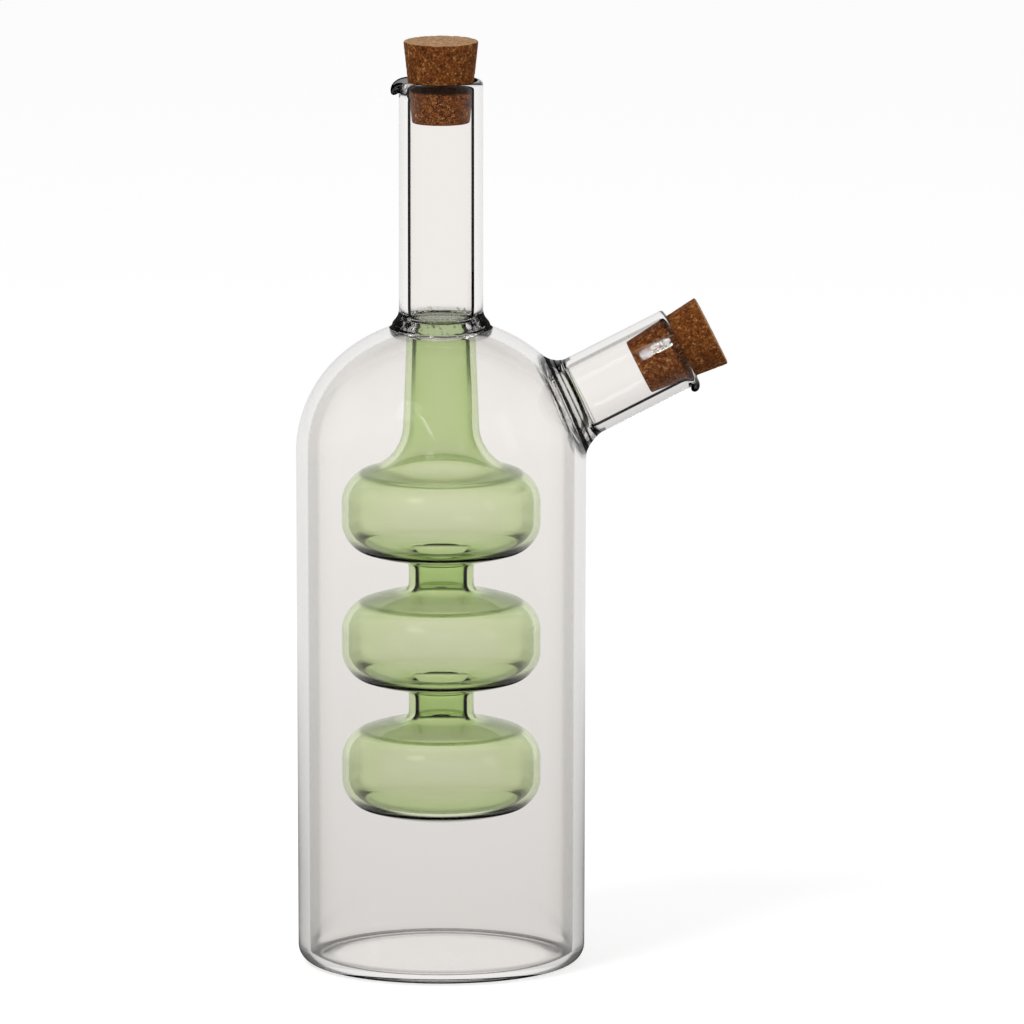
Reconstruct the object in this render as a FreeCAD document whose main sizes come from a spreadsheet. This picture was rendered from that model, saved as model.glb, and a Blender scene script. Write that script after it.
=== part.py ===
import FreeCAD, Part, Sketcher
import math
import os
from collections import namedtuple

# Oil and vinegar cruet, blown and flame-worked from borosilicate glass, millimetres, +Z up.
# The origin is the centre of the flat underside, and the side spout leans towards +X.
# The outer bottle holds one liquid and pours from the side spout. The green inner vessel of three
# bulbs hangs in it from the centre neck and holds the other liquid. A tapered cork closes each mouth.

document = FreeCAD.newDocument("cruet")

# Driving dimensions, in millimetres and degrees.
SIZES = [
    ("body_radius", 37.9, "outside radius of the bottle at its shoulder"),
    ("foot_radius", 37.45, "outside radius of the bottle just above its foot"),
    ("body_wall", 3.0, "wall of the bottle and its dome"),
    ("base_wall", 2.2, "thickness of the flat base"),
    ("foot_round", 4.6, "outside rounding of the foot"),
    ("shoulder_height", 135.0, "height at which the dome springs"),
    ("shoulder_arc", 33.5, "radius of the dome's shoulder in section"),
    ("dome_turn", 50.0, "where the shoulder arc hands over to the crown arc, degrees"),
    ("neck_mouth_height", 233.0, "height of the neck's mouth"),
    ("neck_radius", 11.0, "outside radius of the neck tube"),
    ("neck_bore", 8.65, "inside radius of the neck tube"),
    ("neck_collar_radius", 12.85, "outside radius of the seal collar under the neck"),
    ("neck_collar_height", 4.7, "height of the seal collar under the neck"),
    ("spout_radius", 10.7, "outside radius of the side spout"),
    ("spout_bore", 8.65, "inside radius of the side spout"),
    ("spout_tilt", 26.8, "rise of the side spout above the horizontal, degrees"),
    ("spout_root_angle", 23.7, "where the spout's axis leaves the shoulder arc, degrees"),
    ("spout_length", 31.0, "length of the spout along its axis, from the dome to its mouth"),
    ("spout_collar_radius", 12.7, "outside radius of the seal collar round the spout's root"),
    ("spout_collar_height", 1.9, "how far that collar rises from the dome along the spout's axis"),
    ("spout_collar_skirt", 1.9, "how far its flare runs down round the dome"),
    ("root_reach", 8.0, "length of spout and drill that crosses the dome before trimming"),
    ("collar_band", 0.8, "upright edge at the foot of a seal collar"),
    ("rim_round", 1.0, "fire-polished rounding of a mouth"),
    ("lip_bead", 1.6, "radius of the bead at the edge of a pouring lip"),
    ("lip_undercut", 0.7, "gap between a pouring lip's bead and its tube"),
    ("lip_sink", 0.4, "how deep a pouring lip starts inside its tube's wall"),
    ("lip_setback", 6.0, "distance of a pouring lip's own centre from its tube's axis"),
    ("vessel_radius", 26.0, "outside radius of a green bulb"),
    ("vessel_corner", 8.5, "radius of a bulb's side in section"),
    ("vessel_band", 5.0, "height of the upright belt round a bulb"),
    ("vessel_half_height", 13.7, "half height of a bulb"),
    ("vessel_pitch", 34.0, "distance from one bulb to the next"),
    ("vessel_hang", 15.5, "how far the top bulb's middle hangs below the shoulder"),
    ("vessel_count", 3, "number of bulbs"),
    ("vessel_wall", 1.75, "wall of the green vessel"),
    ("link_radius", 8.5, "outside radius of the short necks between bulbs"),
    ("link_fillet", 2.2, "fillet where a short neck meets a bulb"),
    ("throat_fillet", 12.5, "flare where the green neck runs into the top bulb"),
    ("throat_radius", 9.9, "outside radius of the green neck at its lower end"),
    ("throat_top_radius", 9.0, "outside radius of the green neck where it is sealed in"),
    ("throat_straight", 7.0, "straight length at the top of the green neck"),
    ("throat_taper", 19.0, "length over which the green neck narrows"),
    ("socket_depth", 4.0, "how far the green neck stands up inside the seal collar"),
    ("cork_length", 21.3, "length of a cork stopper"),
    ("cork_spread", 4.4, "difference between a cork's two diameters"),
    ("cork_clearance", 0.06, "gap between a cork and the glass at its tightest place"),
    ("cork_edge", 0.5, "worn edge of a cork"),
    ("top_cork_depth", 10.9, "depth of the top cork in the neck"),
    ("side_cork_depth", 12.4, "depth of the side cork in the spout"),
]
sheet = document.addObject("Spreadsheet::Sheet", "Sizes")
for row, (alias, value, meaning) in enumerate(SIZES, start=1):
    sheet.set(f"A{row}", meaning)
    sheet.set(f"B{row}", str(value))
    sheet.setAlias(f"B{row}", alias)
document.recompute()


def value(expression):
    """What an expression of the sheet comes to, used to draw a sketch near its solution."""
    return float(sheet.evalExpression(expression))


def size(alias):
    return value(f"Sizes.{alias}")


def plane(body, role):
    return next(item for item in body.Origin.OriginFeatures if item.Role == role)


def new_body(name):
    body = document.addObject("PartDesign::Body", name)
    body.Label = name
    return body


def new_sketch(body, name):
    """A sketch on the body's XZ plane: across is the radius, up is the height."""
    sketch = body.newObject("Sketcher::SketchObject", name)
    sketch.AttachmentSupport = (plane(body, "XZ_Plane"), [""])
    sketch.MapMode = "FlatFace"
    return sketch


Edge = namedtuple("Edge", "index first last")
CENTRE_INDEX = 3
ORIGIN = (-1, 1)
UP_AXIS_INDEX = -2


def line(sketch, start, end, construction=False):
    first = FreeCAD.Vector(start[0], start[1], 0)
    last = FreeCAD.Vector(end[0], end[1], 0)
    return Edge(sketch.addGeometry(Part.LineSegment(first, last), construction), 1, 2)


def arc(sketch, start, middle, end):
    """An arc through three points. A sketch keeps arcs anticlockwise, so its ends may be swapped."""
    points = [FreeCAD.Vector(x, y, 0) for x, y in (start, middle, end)]
    index = sketch.addGeometry(Part.Arc(*points), False)
    swapped = sketch.getPoint(index, 1).distanceToPoint(points[0]) > 1e-6
    return Edge(index, 2, 1) if swapped else Edge(index, 1, 2)


def rule(sketch, kind, *items, name=None, size_of=None):
    """Add one constraint, bound to an expression of the sheet where it has a size."""
    index = sketch.addConstraint(Sketcher.Constraint(kind, *items))
    if name:
        sketch.renameConstraint(index, name)
        sketch.setExpression(f"Constraints.{name}", size_of)


def place(sketch, name, edge, point, across=None, upward=None):
    """Pin a point of an edge by the expressions of its distances from the origin."""
    for kind, word, expression in (("DistanceX", "across", across), ("DistanceY", "upward", upward)):
        if expression:
            rule(sketch, kind, *ORIGIN, edge.index, point, value(expression),
                 name=f"{name}_{word}", size_of=expression)


def radius(sketch, name, edge, expression):
    rule(sketch, "Radius", edge.index, value(expression), name=name, size_of=expression)


def level(sketch, edge):
    rule(sketch, "Horizontal", edge.index)


def upright(sketch, edge):
    rule(sketch, "Vertical", edge.index)


def on_axis(sketch, edge, point):
    rule(sketch, "PointOnObject", edge.index, point, UP_AXIS_INDEX)


def chain(sketch, edges, smooth=()):
    """Join each edge to the next, smoothly where the pair's number is listed."""
    for number, (before, after) in enumerate(zip(edges, edges[1:])):
        kind = "Tangent" if number in smooth else "Coincident"
        rule(sketch, kind, before.index, before.last, after.index, after.first)


def close_to_axis(sketch, edges):
    """Close an outline with a level line in to the upright axis and the axis itself."""
    last = sketch.getPoint(edges[-1].index, edges[-1].last)
    first = sketch.getPoint(edges[0].index, edges[0].first)
    top = line(sketch, (last.x, last.y), (0, last.y))
    axis = line(sketch, (0, last.y), (0, first.y))
    chain(sketch, [edges[-1], top, axis, edges[0]])
    level(sketch, top)
    on_axis(sketch, top, top.last)


def revolve(body, name, sketch, axis="V_Axis", kind="PartDesign::Revolution"):
    before = body.Shape.Volume if body.Tip else 0.0
    feature = body.newObject(kind, name)
    feature.Profile = sketch
    feature.ReferenceAxis = (sketch, [axis])
    feature.Angle = 360.0
    document.recompute()
    if kind == "PartDesign::Groove" and feature.Shape.Volume > before - 1.0:
        raise RuntimeError(f"{name} cut nothing")
    return feature


def groove(body, name, sketch, axis="V_Axis"):
    return revolve(body, name, sketch, axis, kind="PartDesign::Groove")


# The dome is a shoulder arc that runs smoothly into a flatter crown arc centred on the axis.
OVERHANG = "(Sizes.body_radius - Sizes.shoulder_arc)"
CROWN_CENTRE = f"(Sizes.shoulder_height - {OVERHANG} * tan(Sizes.dome_turn))"
CROWN_ARC = f"(Sizes.shoulder_arc + {OVERHANG} / cos(Sizes.dome_turn))"
SEAM_HEIGHT = f"({CROWN_CENTRE} + sqrt({CROWN_ARC} ^ 2 - Sizes.neck_collar_radius ^ 2))"


def at_angle(centre, reach, degrees):
    angle = math.radians(degrees)
    return centre[0] + reach * math.cos(angle), centre[1] + reach * math.sin(angle)


def dome_arcs(sketch, inset, edge):
    """Shoulder arc and crown arc, drawn at their solution from the sheet's values."""
    turn = size("dome_turn")
    bow, crown = size("shoulder_arc") - inset, value(CROWN_ARC) - inset
    bow_centre = (value(OVERHANG), size("shoulder_height"))
    crown_centre = (0, value(CROWN_CENTRE))
    end = math.degrees(math.acos(edge / crown))
    meeting = at_angle(bow_centre, bow, turn)
    return [
        arc(sketch, at_angle(bow_centre, bow, 0), at_angle(bow_centre, bow, 0.5 * turn), meeting),
        arc(sketch, meeting, at_angle(crown_centre, crown, 0.5 * (turn + end)),
            at_angle(crown_centre, crown, end)),
    ]


def bottle_outline(sketch, inset, floor, bend, edge):
    """Base, foot round, slightly tapered side and dome, from the axis up to the dome's edge.

    The arguments are expressions: the inset from the bottle's outside, the base's height, the
    rounding of its corner, and the radius of the dome's edge.
    """
    side, foot, bow = (f"Sizes.{word} - {inset}" for word in ("body_radius", "foot_radius", "shoulder_arc"))
    foot_now, floor_now, bend_now = value(foot), value(floor), value(bend)
    corner_centre = (foot_now - bend_now, floor_now + bend_now)
    corner_start = at_angle(corner_centre, bend_now, -90)
    corner_end = at_angle(corner_centre, bend_now, 0)
    edges = [
        line(sketch, (0, floor_now), corner_start),
        arc(sketch, corner_start, at_angle(corner_centre, bend_now, -45), corner_end),
        line(sketch, corner_end, (value(side), size("shoulder_height"))),
    ]
    edges += dome_arcs(sketch, value(inset), value(edge))
    base, corner, wall, shoulder, crown = edges
    on_axis(sketch, base, base.first)
    place(sketch, "base", base, base.first, upward=floor)
    level(sketch, base)
    chain(sketch, edges, smooth=(0, 1, 3))
    radius(sketch, "corner_round", corner, bend)
    place(sketch, "foot", wall, wall.first, across=foot)
    place(sketch, "spring", wall, wall.last, side, "Sizes.shoulder_height")
    rule(sketch, "Horizontal", shoulder.index, shoulder.first, shoulder.index, CENTRE_INDEX)
    radius(sketch, "shoulder_bow", shoulder, bow)
    on_axis(sketch, crown, CENTRE_INDEX)
    place(sketch, "crown_centre", crown, CENTRE_INDEX, upward=CROWN_CENTRE)
    place(sketch, "dome_edge", crown, crown.last, across=edge)
    return edges


def solid_bottle(name):
    """The bottle's outside, filled."""
    body = new_body(name)
    sketch = new_sketch(body, f"{name}_section")
    close_to_axis(sketch, bottle_outline(sketch, "0", "0", "Sizes.foot_round", "Sizes.neck_collar_radius"))
    revolve(body, f"{name}_turn", sketch)
    return body


# The filled outside trims the side spout's root to a saddle, and the blank is hollowed.
envelope = solid_bottle("bottle_envelope")
blank = solid_bottle("bottle_blank")

# The hollow has a flat floor with a rounded corner, and its dome is open where the green neck passes.
hollow = new_sketch(blank, "hollow_section")
hollow_edges = bottle_outline(hollow, "Sizes.body_wall", "Sizes.base_wall",
                              "Sizes.foot_round - Sizes.base_wall", "Sizes.throat_top_radius")
dome_edge = hollow.getPoint(hollow_edges[-1].index, hollow_edges[-1].last)
hole_side = line(hollow, (dome_edge.x, dome_edge.y), (dome_edge.x, value(SEAM_HEIGHT)))
chain(hollow, [hollow_edges[-1], hole_side])
upright(hollow, hole_side)
place(hollow, "hole_top", hole_side, hole_side.last, upward=SEAM_HEIGHT)
close_to_axis(hollow, [hollow_edges[0], hole_side])
groove(blank, "hollow_turn", hollow)

# The side spout's axis leaves the shoulder arc square to it within a few degrees.
ROOT_ACROSS = f"({OVERHANG} + Sizes.shoulder_arc * cos(Sizes.spout_root_angle))"
ROOT_UPWARD = "(Sizes.shoulder_height + Sizes.shoulder_arc * sin(Sizes.spout_root_angle))"


def on_spout_axis(item, distance):
    """Place an item on the spout's axis at a distance from its root, its own Z along the axis."""
    item.Placement = FreeCAD.Placement(FreeCAD.Vector(), FreeCAD.Rotation(FreeCAD.Vector(0, 1, 0), 90))
    item.setExpression(".Placement.Rotation.Angle", "90 - Sizes.spout_tilt")
    item.setExpression(".Placement.Base.x", f"{ROOT_ACROSS} + ({distance}) * cos(Sizes.spout_tilt)")
    item.setExpression(".Placement.Base.z", f"{ROOT_UPWARD} + ({distance}) * sin(Sizes.spout_tilt)")


drill = document.addObject("Part::Cylinder", "spout_drill")
drill.setExpression("Radius", "Sizes.spout_bore")
drill.setExpression("Height", "2 * Sizes.root_reach")
on_spout_axis(drill, "-Sizes.root_reach")

outer_bottle = document.addObject("Part::Cut", "outer_bottle")
outer_bottle.Base = blank
outer_bottle.Tool = drill


def outline(sketch, name, corners):
    """A closed outline of straight edges through corners given as pairs of expressions, all pinned."""
    points = [(value(across), value(upward)) for across, upward in corners]
    edges = [line(sketch, start, end) for start, end in zip(points, points[1:] + points[:1])]
    chain(sketch, edges + edges[:1])
    for number, (edge, (across, upward)) in enumerate(zip(edges, corners)):
        place(sketch, f"{name}{number}", edge, edge.first, across, upward)
    return edges


def lip_axis(sketch, side, low, high):
    """The lip's own axis, as the sketch's first construction line."""
    across = f"{side}Sizes.lip_setback"
    guide = line(sketch, (value(across), value(low) - 1), (value(across), value(high) + 1), construction=True)
    place(sketch, "guide_low", guide, guide.first, across, f"{low} - 1")
    place(sketch, "guide_high", guide, guide.last, across, f"{high} + 1")


def tube_body(name, prefix, length, collar_top, band_top, side, socket=None):
    """A tube with a seal collar at its root and a pouring lip at its fire-polished mouth.

    Its own frame has the mouth's centre at the origin and the tube running down from it. length,
    collar_top and band_top are expressions of distances below the mouth, and the lip points along
    -X or +X, as the sign in side says.
    """
    body = new_body(name)
    tube, bore, collar = (f"Sizes.{prefix}_{word}" for word in ("radius", "bore", "collar_radius"))

    # The tube filled: root, upright band, concave flare of the collar, tube wall, rounded rim.
    blank_section = new_sketch(body, f"{name}_section")
    tube_now, collar_now, rim = value(tube), value(collar), size("rim_round")
    bottom, band, top = (-value(word) for word in (length, band_top, collar_top))
    rise, run = top - band, collar_now - tube_now
    flare = (rise * rise + run * run) / (2 * run)
    flare_end = 180 + math.degrees(math.asin(rise / flare))
    flare_centre = (tube_now + flare, top)
    rim_centre = (tube_now - rim, -rim)
    edges = [
        line(blank_section, (0, bottom), (collar_now, bottom)),
        line(blank_section, (collar_now, bottom), (collar_now, band)),
        arc(blank_section, (collar_now, band), at_angle(flare_centre, flare, 0.5 * (180 + flare_end)),
            (tube_now, top)),
        line(blank_section, (tube_now, top), (tube_now, -rim)),
        arc(blank_section, (tube_now, -rim), at_angle(rim_centre, rim, 45), (tube_now - rim, 0)),
    ]
    root, skirt, bell, wall, edge = edges
    on_axis(blank_section, root, root.first)
    level(blank_section, root)
    chain(blank_section, edges, smooth=(2, 3))
    place(blank_section, "root", root, root.last, collar, f"-({length})")
    upright(blank_section, skirt)
    place(blank_section, "band", skirt, skirt.last, upward=f"-({band_top})")
    upright(blank_section, wall)
    place(blank_section, "collar_top", wall, wall.first, tube, f"-({collar_top})")
    radius(blank_section, "rim", edge, "Sizes.rim_round")
    rule(blank_section, "Vertical", edge.index, edge.last, edge.index, CENTRE_INDEX)
    place(blank_section, "mouth", edge, CENTRE_INDEX, upward="-Sizes.rim_round")
    close_to_axis(blank_section, edges)
    revolve(body, f"{name}_turn", blank_section)

    # The pouring lip is turned about an axis of its own, set back towards the tube's axis.
    lip = new_sketch(body, f"{name}_lip_section")
    undercut, sink, bead = "Sizes.lip_undercut", "Sizes.lip_sink", "Sizes.lip_bead"
    lip_round = f"({undercut} + {sink})"
    lip_foot = f"-(2 * {bead} + {lip_round})"
    crest = f"({tube} + {undercut})"
    lip_axis(lip, side, lip_foot, "0")
    foot_now, crest_now = value(lip_foot), value(crest)
    curl = value(lip_round)
    sign = -1 if side == "-" else 1
    setback = sign * size("lip_setback")
    under = [(sign * x, z) for x, z in (at_angle((crest_now, foot_now), curl, angle)
                                        for angle in (180, 135, 90))]
    bulb = [(sign * x, z) for x, z in (at_angle((crest_now, -value(bead)), value(bead), angle)
                                       for angle in (-90, 0, 90))]
    parts = [
        line(lip, (setback, foot_now), under[0]),
        arc(lip, *under),
        arc(lip, *bulb),
        line(lip, bulb[2], (setback, 0)),
        line(lip, (setback, 0), (setback, foot_now)),
    ]
    foot, hollow_arc, bead_arc, crest_line, closing = parts
    chain(lip, parts + parts[:1])
    level(lip, foot)
    place(lip, "foot", foot, foot.first, f"{side}Sizes.lip_setback", lip_foot)
    place(lip, "undercut", hollow_arc, CENTRE_INDEX, f"{side}{crest}", lip_foot)
    radius(lip, "undercut", hollow_arc, lip_round)
    rule(lip, "Vertical", hollow_arc.index, hollow_arc.last, hollow_arc.index, CENTRE_INDEX)
    radius(lip, "bead", bead_arc, bead)
    rule(lip, "Vertical", bead_arc.index, CENTRE_INDEX, bead_arc.index, bead_arc.first)
    rule(lip, "Vertical", bead_arc.index, CENTRE_INDEX, bead_arc.index, bead_arc.last)
    level(lip, crest_line)
    upright(lip, closing)
    revolve(body, f"{name}_lip", lip, axis="Axis0")

    # The bore, with a wider socket at the root where one is asked for, and the rim's inner rounding.
    bore_section = new_sketch(body, f"{name}_bore_section")
    bore_now = value(bore)
    inner_rim = (bore_now + rim, -rim)
    cuts = []
    if socket:
        socket_now, step = value(socket[0]), value(socket[1])
        cuts += [line(bore_section, (0, bottom), (socket_now, bottom)),
                 line(bore_section, (socket_now, bottom), (socket_now, bottom + step)),
                 line(bore_section, (socket_now, bottom + step), (bore_now, bottom + step))]
        place(bore_section, "socket", cuts[1], cuts[1].first, socket[0], f"-({length})")
        place(bore_section, "socket_top", cuts[1], cuts[1].last, upward=f"{socket[1]} - ({length})")
        upright(bore_section, cuts[1])
        level(bore_section, cuts[2])
    else:
        cuts += [line(bore_section, (0, bottom), (bore_now, bottom))]
        place(bore_section, "bore_foot", cuts[0], cuts[0].last, upward=f"-({length})")
    start = (bore_now, value(f"{socket[1]} - ({length})") if socket else bottom)
    bore_wall = line(bore_section, start, (bore_now, -rim))
    rounding = arc(bore_section, (bore_now, -rim), at_angle(inner_rim, rim, 135), (bore_now + rim, 0))
    cuts += [bore_wall, rounding]
    on_axis(bore_section, cuts[0], cuts[0].first)
    level(bore_section, cuts[0])
    chain(bore_section, cuts)
    upright(bore_section, bore_wall)
    place(bore_section, "rim_centre", rounding, CENTRE_INDEX, f"{bore} + Sizes.rim_round", "-Sizes.rim_round")
    radius(bore_section, "inner_rim", rounding, "Sizes.rim_round")
    rule(bore_section, "Horizontal", rounding.index, CENTRE_INDEX, rounding.index, rounding.first)
    rule(bore_section, "Vertical", rounding.index, CENTRE_INDEX, rounding.index, rounding.last)
    close_to_axis(bore_section, cuts)
    groove(body, f"{name}_bore", bore_section)

    # The lip's channel curls out from just inside the bore to the bead's crest.
    channel = new_sketch(body, f"{name}_channel_section")
    flare_round = f"({crest} - {bore} + {sink})"
    lip_axis(channel, side, f"-{flare_round}", "0")
    flare_now = value(flare_round)
    sweep = [(sign * x, z) for x, z in (at_angle((crest_now, -flare_now), flare_now, angle)
                                        for angle in (180, 135, 90))]
    pieces = [
        line(channel, (setback, -flare_now), sweep[0]),
        arc(channel, *sweep),
        line(channel, sweep[2], (setback, 0)),
        line(channel, (setback, 0), (setback, -flare_now)),
    ]
    channel_foot, curl_arc, channel_top, channel_close = pieces
    chain(channel, pieces + pieces[:1])
    level(channel, channel_foot)
    place(channel, "foot", channel_foot, channel_foot.first, f"{side}Sizes.lip_setback", f"-{flare_round}")
    place(channel, "curl", curl_arc, CENTRE_INDEX, f"{side}{crest}", f"-{flare_round}")
    radius(channel, "curl", curl_arc, flare_round)
    rule(channel, "Vertical", curl_arc.index, CENTRE_INDEX, curl_arc.index, curl_arc.last)
    level(channel, channel_top)
    upright(channel, channel_close)
    groove(body, f"{name}_channel", channel, axis="Axis0")
    return body


SEAM_DEPTH = f"(Sizes.neck_mouth_height - {SEAM_HEIGHT})"
neck = tube_body("neck_tube", "neck", SEAM_DEPTH, f"{SEAM_DEPTH} - Sizes.neck_collar_height",
                 f"{SEAM_DEPTH} - Sizes.collar_band", "-",
                 socket=("Sizes.throat_top_radius", "Sizes.socket_depth"))
neck.setExpression(".Placement.Base.z", "Sizes.neck_mouth_height")

spout_blank = tube_body("spout_blank", "spout", "(Sizes.spout_length + Sizes.root_reach)",
                        "Sizes.spout_length - Sizes.spout_collar_height",
                        "Sizes.spout_length + Sizes.spout_collar_skirt", "")
on_spout_axis(spout_blank, "Sizes.spout_length")
side_spout = document.addObject("Part::Cut", "side_spout")
side_spout.Base = spout_blank
side_spout.Tool = envelope

# The green vessel hangs from the seam: a neck, and a core of short necks with the same bulb blown
# three times along it.
vessel = new_body("vessel_blank")
TOP_BULB = "(Sizes.shoulder_height - Sizes.vessel_hang)"
LOWEST_BULB = f"({TOP_BULB} - Sizes.vessel_pitch * (Sizes.vessel_count - 1))"
VESSEL_TOP = f"({SEAM_HEIGHT} + Sizes.socket_depth)"
STRAIGHT_FOOT = f"({VESSEL_TOP} - Sizes.throat_straight)"
core = new_sketch(vessel, "core_section")
core_edges = outline(core, "core", [
    ("0", LOWEST_BULB),
    ("Sizes.link_radius", LOWEST_BULB),
    ("Sizes.link_radius", TOP_BULB),
    ("Sizes.throat_radius", TOP_BULB),
    ("Sizes.throat_radius", f"{STRAIGHT_FOOT} - Sizes.throat_taper"),
    ("Sizes.throat_top_radius", STRAIGHT_FOOT),
    ("Sizes.throat_top_radius", VESSEL_TOP),
    ("0", VESSEL_TOP),
])
revolve(vessel, "core_turn", core)

# One bulb: two flat crowns centred on the axis, two corners and an upright belt.
bulb = new_sketch(vessel, "bulb_section")
reach, corner, middle = size("vessel_radius"), size("vessel_corner"), value(LOWEST_BULB)
belt, half = 0.5 * size("vessel_band"), size("vessel_half_height")
inward, headroom = reach - corner, half - belt
crown_round = (inward ** 2 + headroom ** 2 - corner ** 2) / (2 * (headroom - corner))
hand_over = math.degrees(math.asin(inward / (crown_round - corner)))


def crown_points(sign):
    """Crown and corner of one half, from the axis outwards, sign -1 for the lower half."""
    crown_centre = (0, middle + sign * (half - crown_round))
    corner_centre = (inward, middle + sign * belt)
    crown = [at_angle(crown_centre, crown_round, sign * angle) for angle in (90, 90 - 0.5 * hand_over)]
    side = [at_angle(corner_centre, corner, sign * angle)
            for angle in (90 - hand_over, 45 - 0.5 * hand_over, 0)]
    return crown, side


lower_crown, lower_side = crown_points(-1)
upper_crown, upper_side = crown_points(1)
bulb_edges = [
    arc(bulb, lower_crown[0], lower_crown[1], lower_side[0]),
    arc(bulb, *lower_side),
    line(bulb, lower_side[2], upper_side[2]),
    arc(bulb, *reversed(upper_side)),
    arc(bulb, upper_side[0], upper_crown[1], upper_crown[0]),
]
chain(bulb, bulb_edges, smooth=(0, 1, 2, 3))
bottom_crown, bottom_corner, belt_line, top_corner, top_crown = bulb_edges
for name, crown, corner_arc, sign in (("lower", bottom_crown, bottom_corner, "-"),
                                      ("upper", top_crown, top_corner, "+")):
    end = crown.first if sign == "-" else crown.last
    on_axis(bulb, crown, CENTRE_INDEX)
    on_axis(bulb, crown, end)
    place(bulb, f"{name}_pole", crown, end, upward=f"{LOWEST_BULB} {sign} Sizes.vessel_half_height")
    radius(bulb, f"{name}_corner", corner_arc, "Sizes.vessel_corner")
upright(bulb, belt_line)
place(bulb, "belt_foot", belt_line, belt_line.first, "Sizes.vessel_radius",
      f"{LOWEST_BULB} - Sizes.vessel_band / 2")
place(bulb, "belt_top", belt_line, belt_line.last, upward=f"{LOWEST_BULB} + Sizes.vessel_band / 2")
pole_line = line(bulb, upper_crown[0], lower_crown[0])
chain(bulb, [top_crown, pole_line, bottom_crown])
bulb_turn = revolve(vessel, "bulb_turn", bulb)

bulbs = vessel.newObject("PartDesign::LinearPattern", "bulbs")
bulbs.Originals = [bulb_turn]
bulbs.Direction = (bulb, ["V_Axis"])
bulbs.setExpression("Length", "Sizes.vessel_pitch * (Sizes.vessel_count - 1)")
bulbs.setExpression("Occurrences", "Sizes.vessel_count")
vessel.Tip = bulbs
document.recompute()


NEAR = 0.01


def ring_edges(shape, reach, low, high):
    """Names of the level round edges of one radius whose height lies between two heights."""
    names = []
    for number, edge in enumerate(shape.Edges, start=1):
        if edge.Degenerated:
            continue
        points = edge.discretize(9)
        level_edge = max(point.z for point in points) - min(point.z for point in points) < NEAR
        on_radius = all(abs(math.hypot(point.x, point.y) - reach) < NEAR for point in points)
        if level_edge and on_radius and low < points[0].z < high:
            names.append(f"Edge{number}")
    return names


def fillet(body, name, expression, edges):
    feature = body.newObject("PartDesign::Fillet", name)
    feature.Base = (body.Group[-2], edges)
    feature.setExpression("Radius", expression)
    document.recompute()
    return feature


top_bulb = value(TOP_BULB)
links = ring_edges(vessel.Shape, size("link_radius"), value(LOWEST_BULB), top_bulb)
fillet(vessel, "link_fillets", "Sizes.link_fillet", links)
throats = ring_edges(vessel.Shape, size("throat_radius"), top_bulb, top_bulb + size("vessel_half_height"))
fillet(vessel, "throat_flare", "Sizes.throat_fillet", throats)

# The wall is drawn in from that outside, open at the top.
top_faces = [f"Face{number}" for number, face in enumerate(vessel.Shape.Faces, start=1)
             if face.BoundBox.ZMin > value(VESSEL_TOP) - NEAR]
inner_vessel = document.addObject("Part::Thickness", "inner_vessel")
inner_vessel.Faces = (vessel, top_faces)
inner_vessel.setExpression("Value", "-Sizes.vessel_wall")
document.recompute()
if not 0 < inner_vessel.Shape.Volume < 0.5 * vessel.Shape.Volume:
    raise RuntimeError("the green vessel was not hollowed")


def cork(name, bore, depth):
    """A tapered cork in the frame of its mouth, tight where the bore ends under the rounded rim."""
    body = new_body(name)
    section = new_sketch(body, f"{name}_section")
    slope = "(Sizes.cork_spread / 2 / Sizes.cork_length)"
    foot = f"({bore} - Sizes.cork_clearance - ({depth} - Sizes.rim_round) * {slope})"
    head = f"({foot} + Sizes.cork_spread / 2)"
    outline(section, "cork", [
        ("0", f"-{depth}"),
        (foot, f"-{depth}"),
        (head, f"Sizes.cork_length - {depth}"),
        ("0", f"Sizes.cork_length - {depth}"),
    ])
    turned = revolve(body, f"{name}_turn", section)
    worn = body.newObject("PartDesign::Chamfer", f"{name}_edges")
    ends = ring_edges(turned.Shape, value(foot), -value(depth) - 1, 0)
    ends += ring_edges(turned.Shape, value(head), 0, size("cork_length"))
    worn.Base = (turned, ends)
    worn.setExpression("Size", "Sizes.cork_edge")
    document.recompute()
    return body


top_stopper = cork("top_stopper", "Sizes.neck_bore", "Sizes.top_cork_depth")
top_stopper.setExpression(".Placement.Base.z", "Sizes.neck_mouth_height")
side_stopper = cork("side_stopper", "Sizes.spout_bore", "Sizes.side_cork_depth")
on_spout_axis(side_stopper, "Sizes.spout_length")

document.recompute()
PARTS = [outer_bottle, side_spout, neck, inner_vessel, top_stopper, side_stopper]
for item in document.Objects:
    if "Invalid" in item.State or "Error" in item.State:
        raise RuntimeError(f"{item.Label} failed: {item.State}")
for item in PARTS:
    shape = item.Shape
    if shape.isNull() or not shape.isValid() or len(shape.Solids) != 1:
        raise RuntimeError(f"{item.Label} has no single valid solid")

os.makedirs("parts", exist_ok=True)
for item in PARTS:
    item.Shape.exportStep(f"parts/{item.Label}.step")
    box = item.Shape.BoundBox
    print(f"{item.Label}: volume {item.Shape.Volume:.0f}, from ({box.XMin:.1f}, {box.YMin:.1f}, {box.ZMin:.1f})"
          f" to ({box.XMax:.1f}, {box.YMax:.1f}, {box.ZMax:.1f})")
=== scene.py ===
# %% [markdown]
# # A cruet for oil and vinegar
# The object is one piece of flame-worked borosilicate glass: a domed bottle with a centre neck, a side
# spout sealed into the dome, and a green vessel of three bulbs that hangs inside the bottle from the
# neck. A tapered cork closes each mouth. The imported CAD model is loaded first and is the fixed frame:
# it gives every size and place, and each piece made here rides on one of its bodies.

import math

import bmesh
import bpy
import numpy as np
from mathutils import Matrix, Vector, noise


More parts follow.
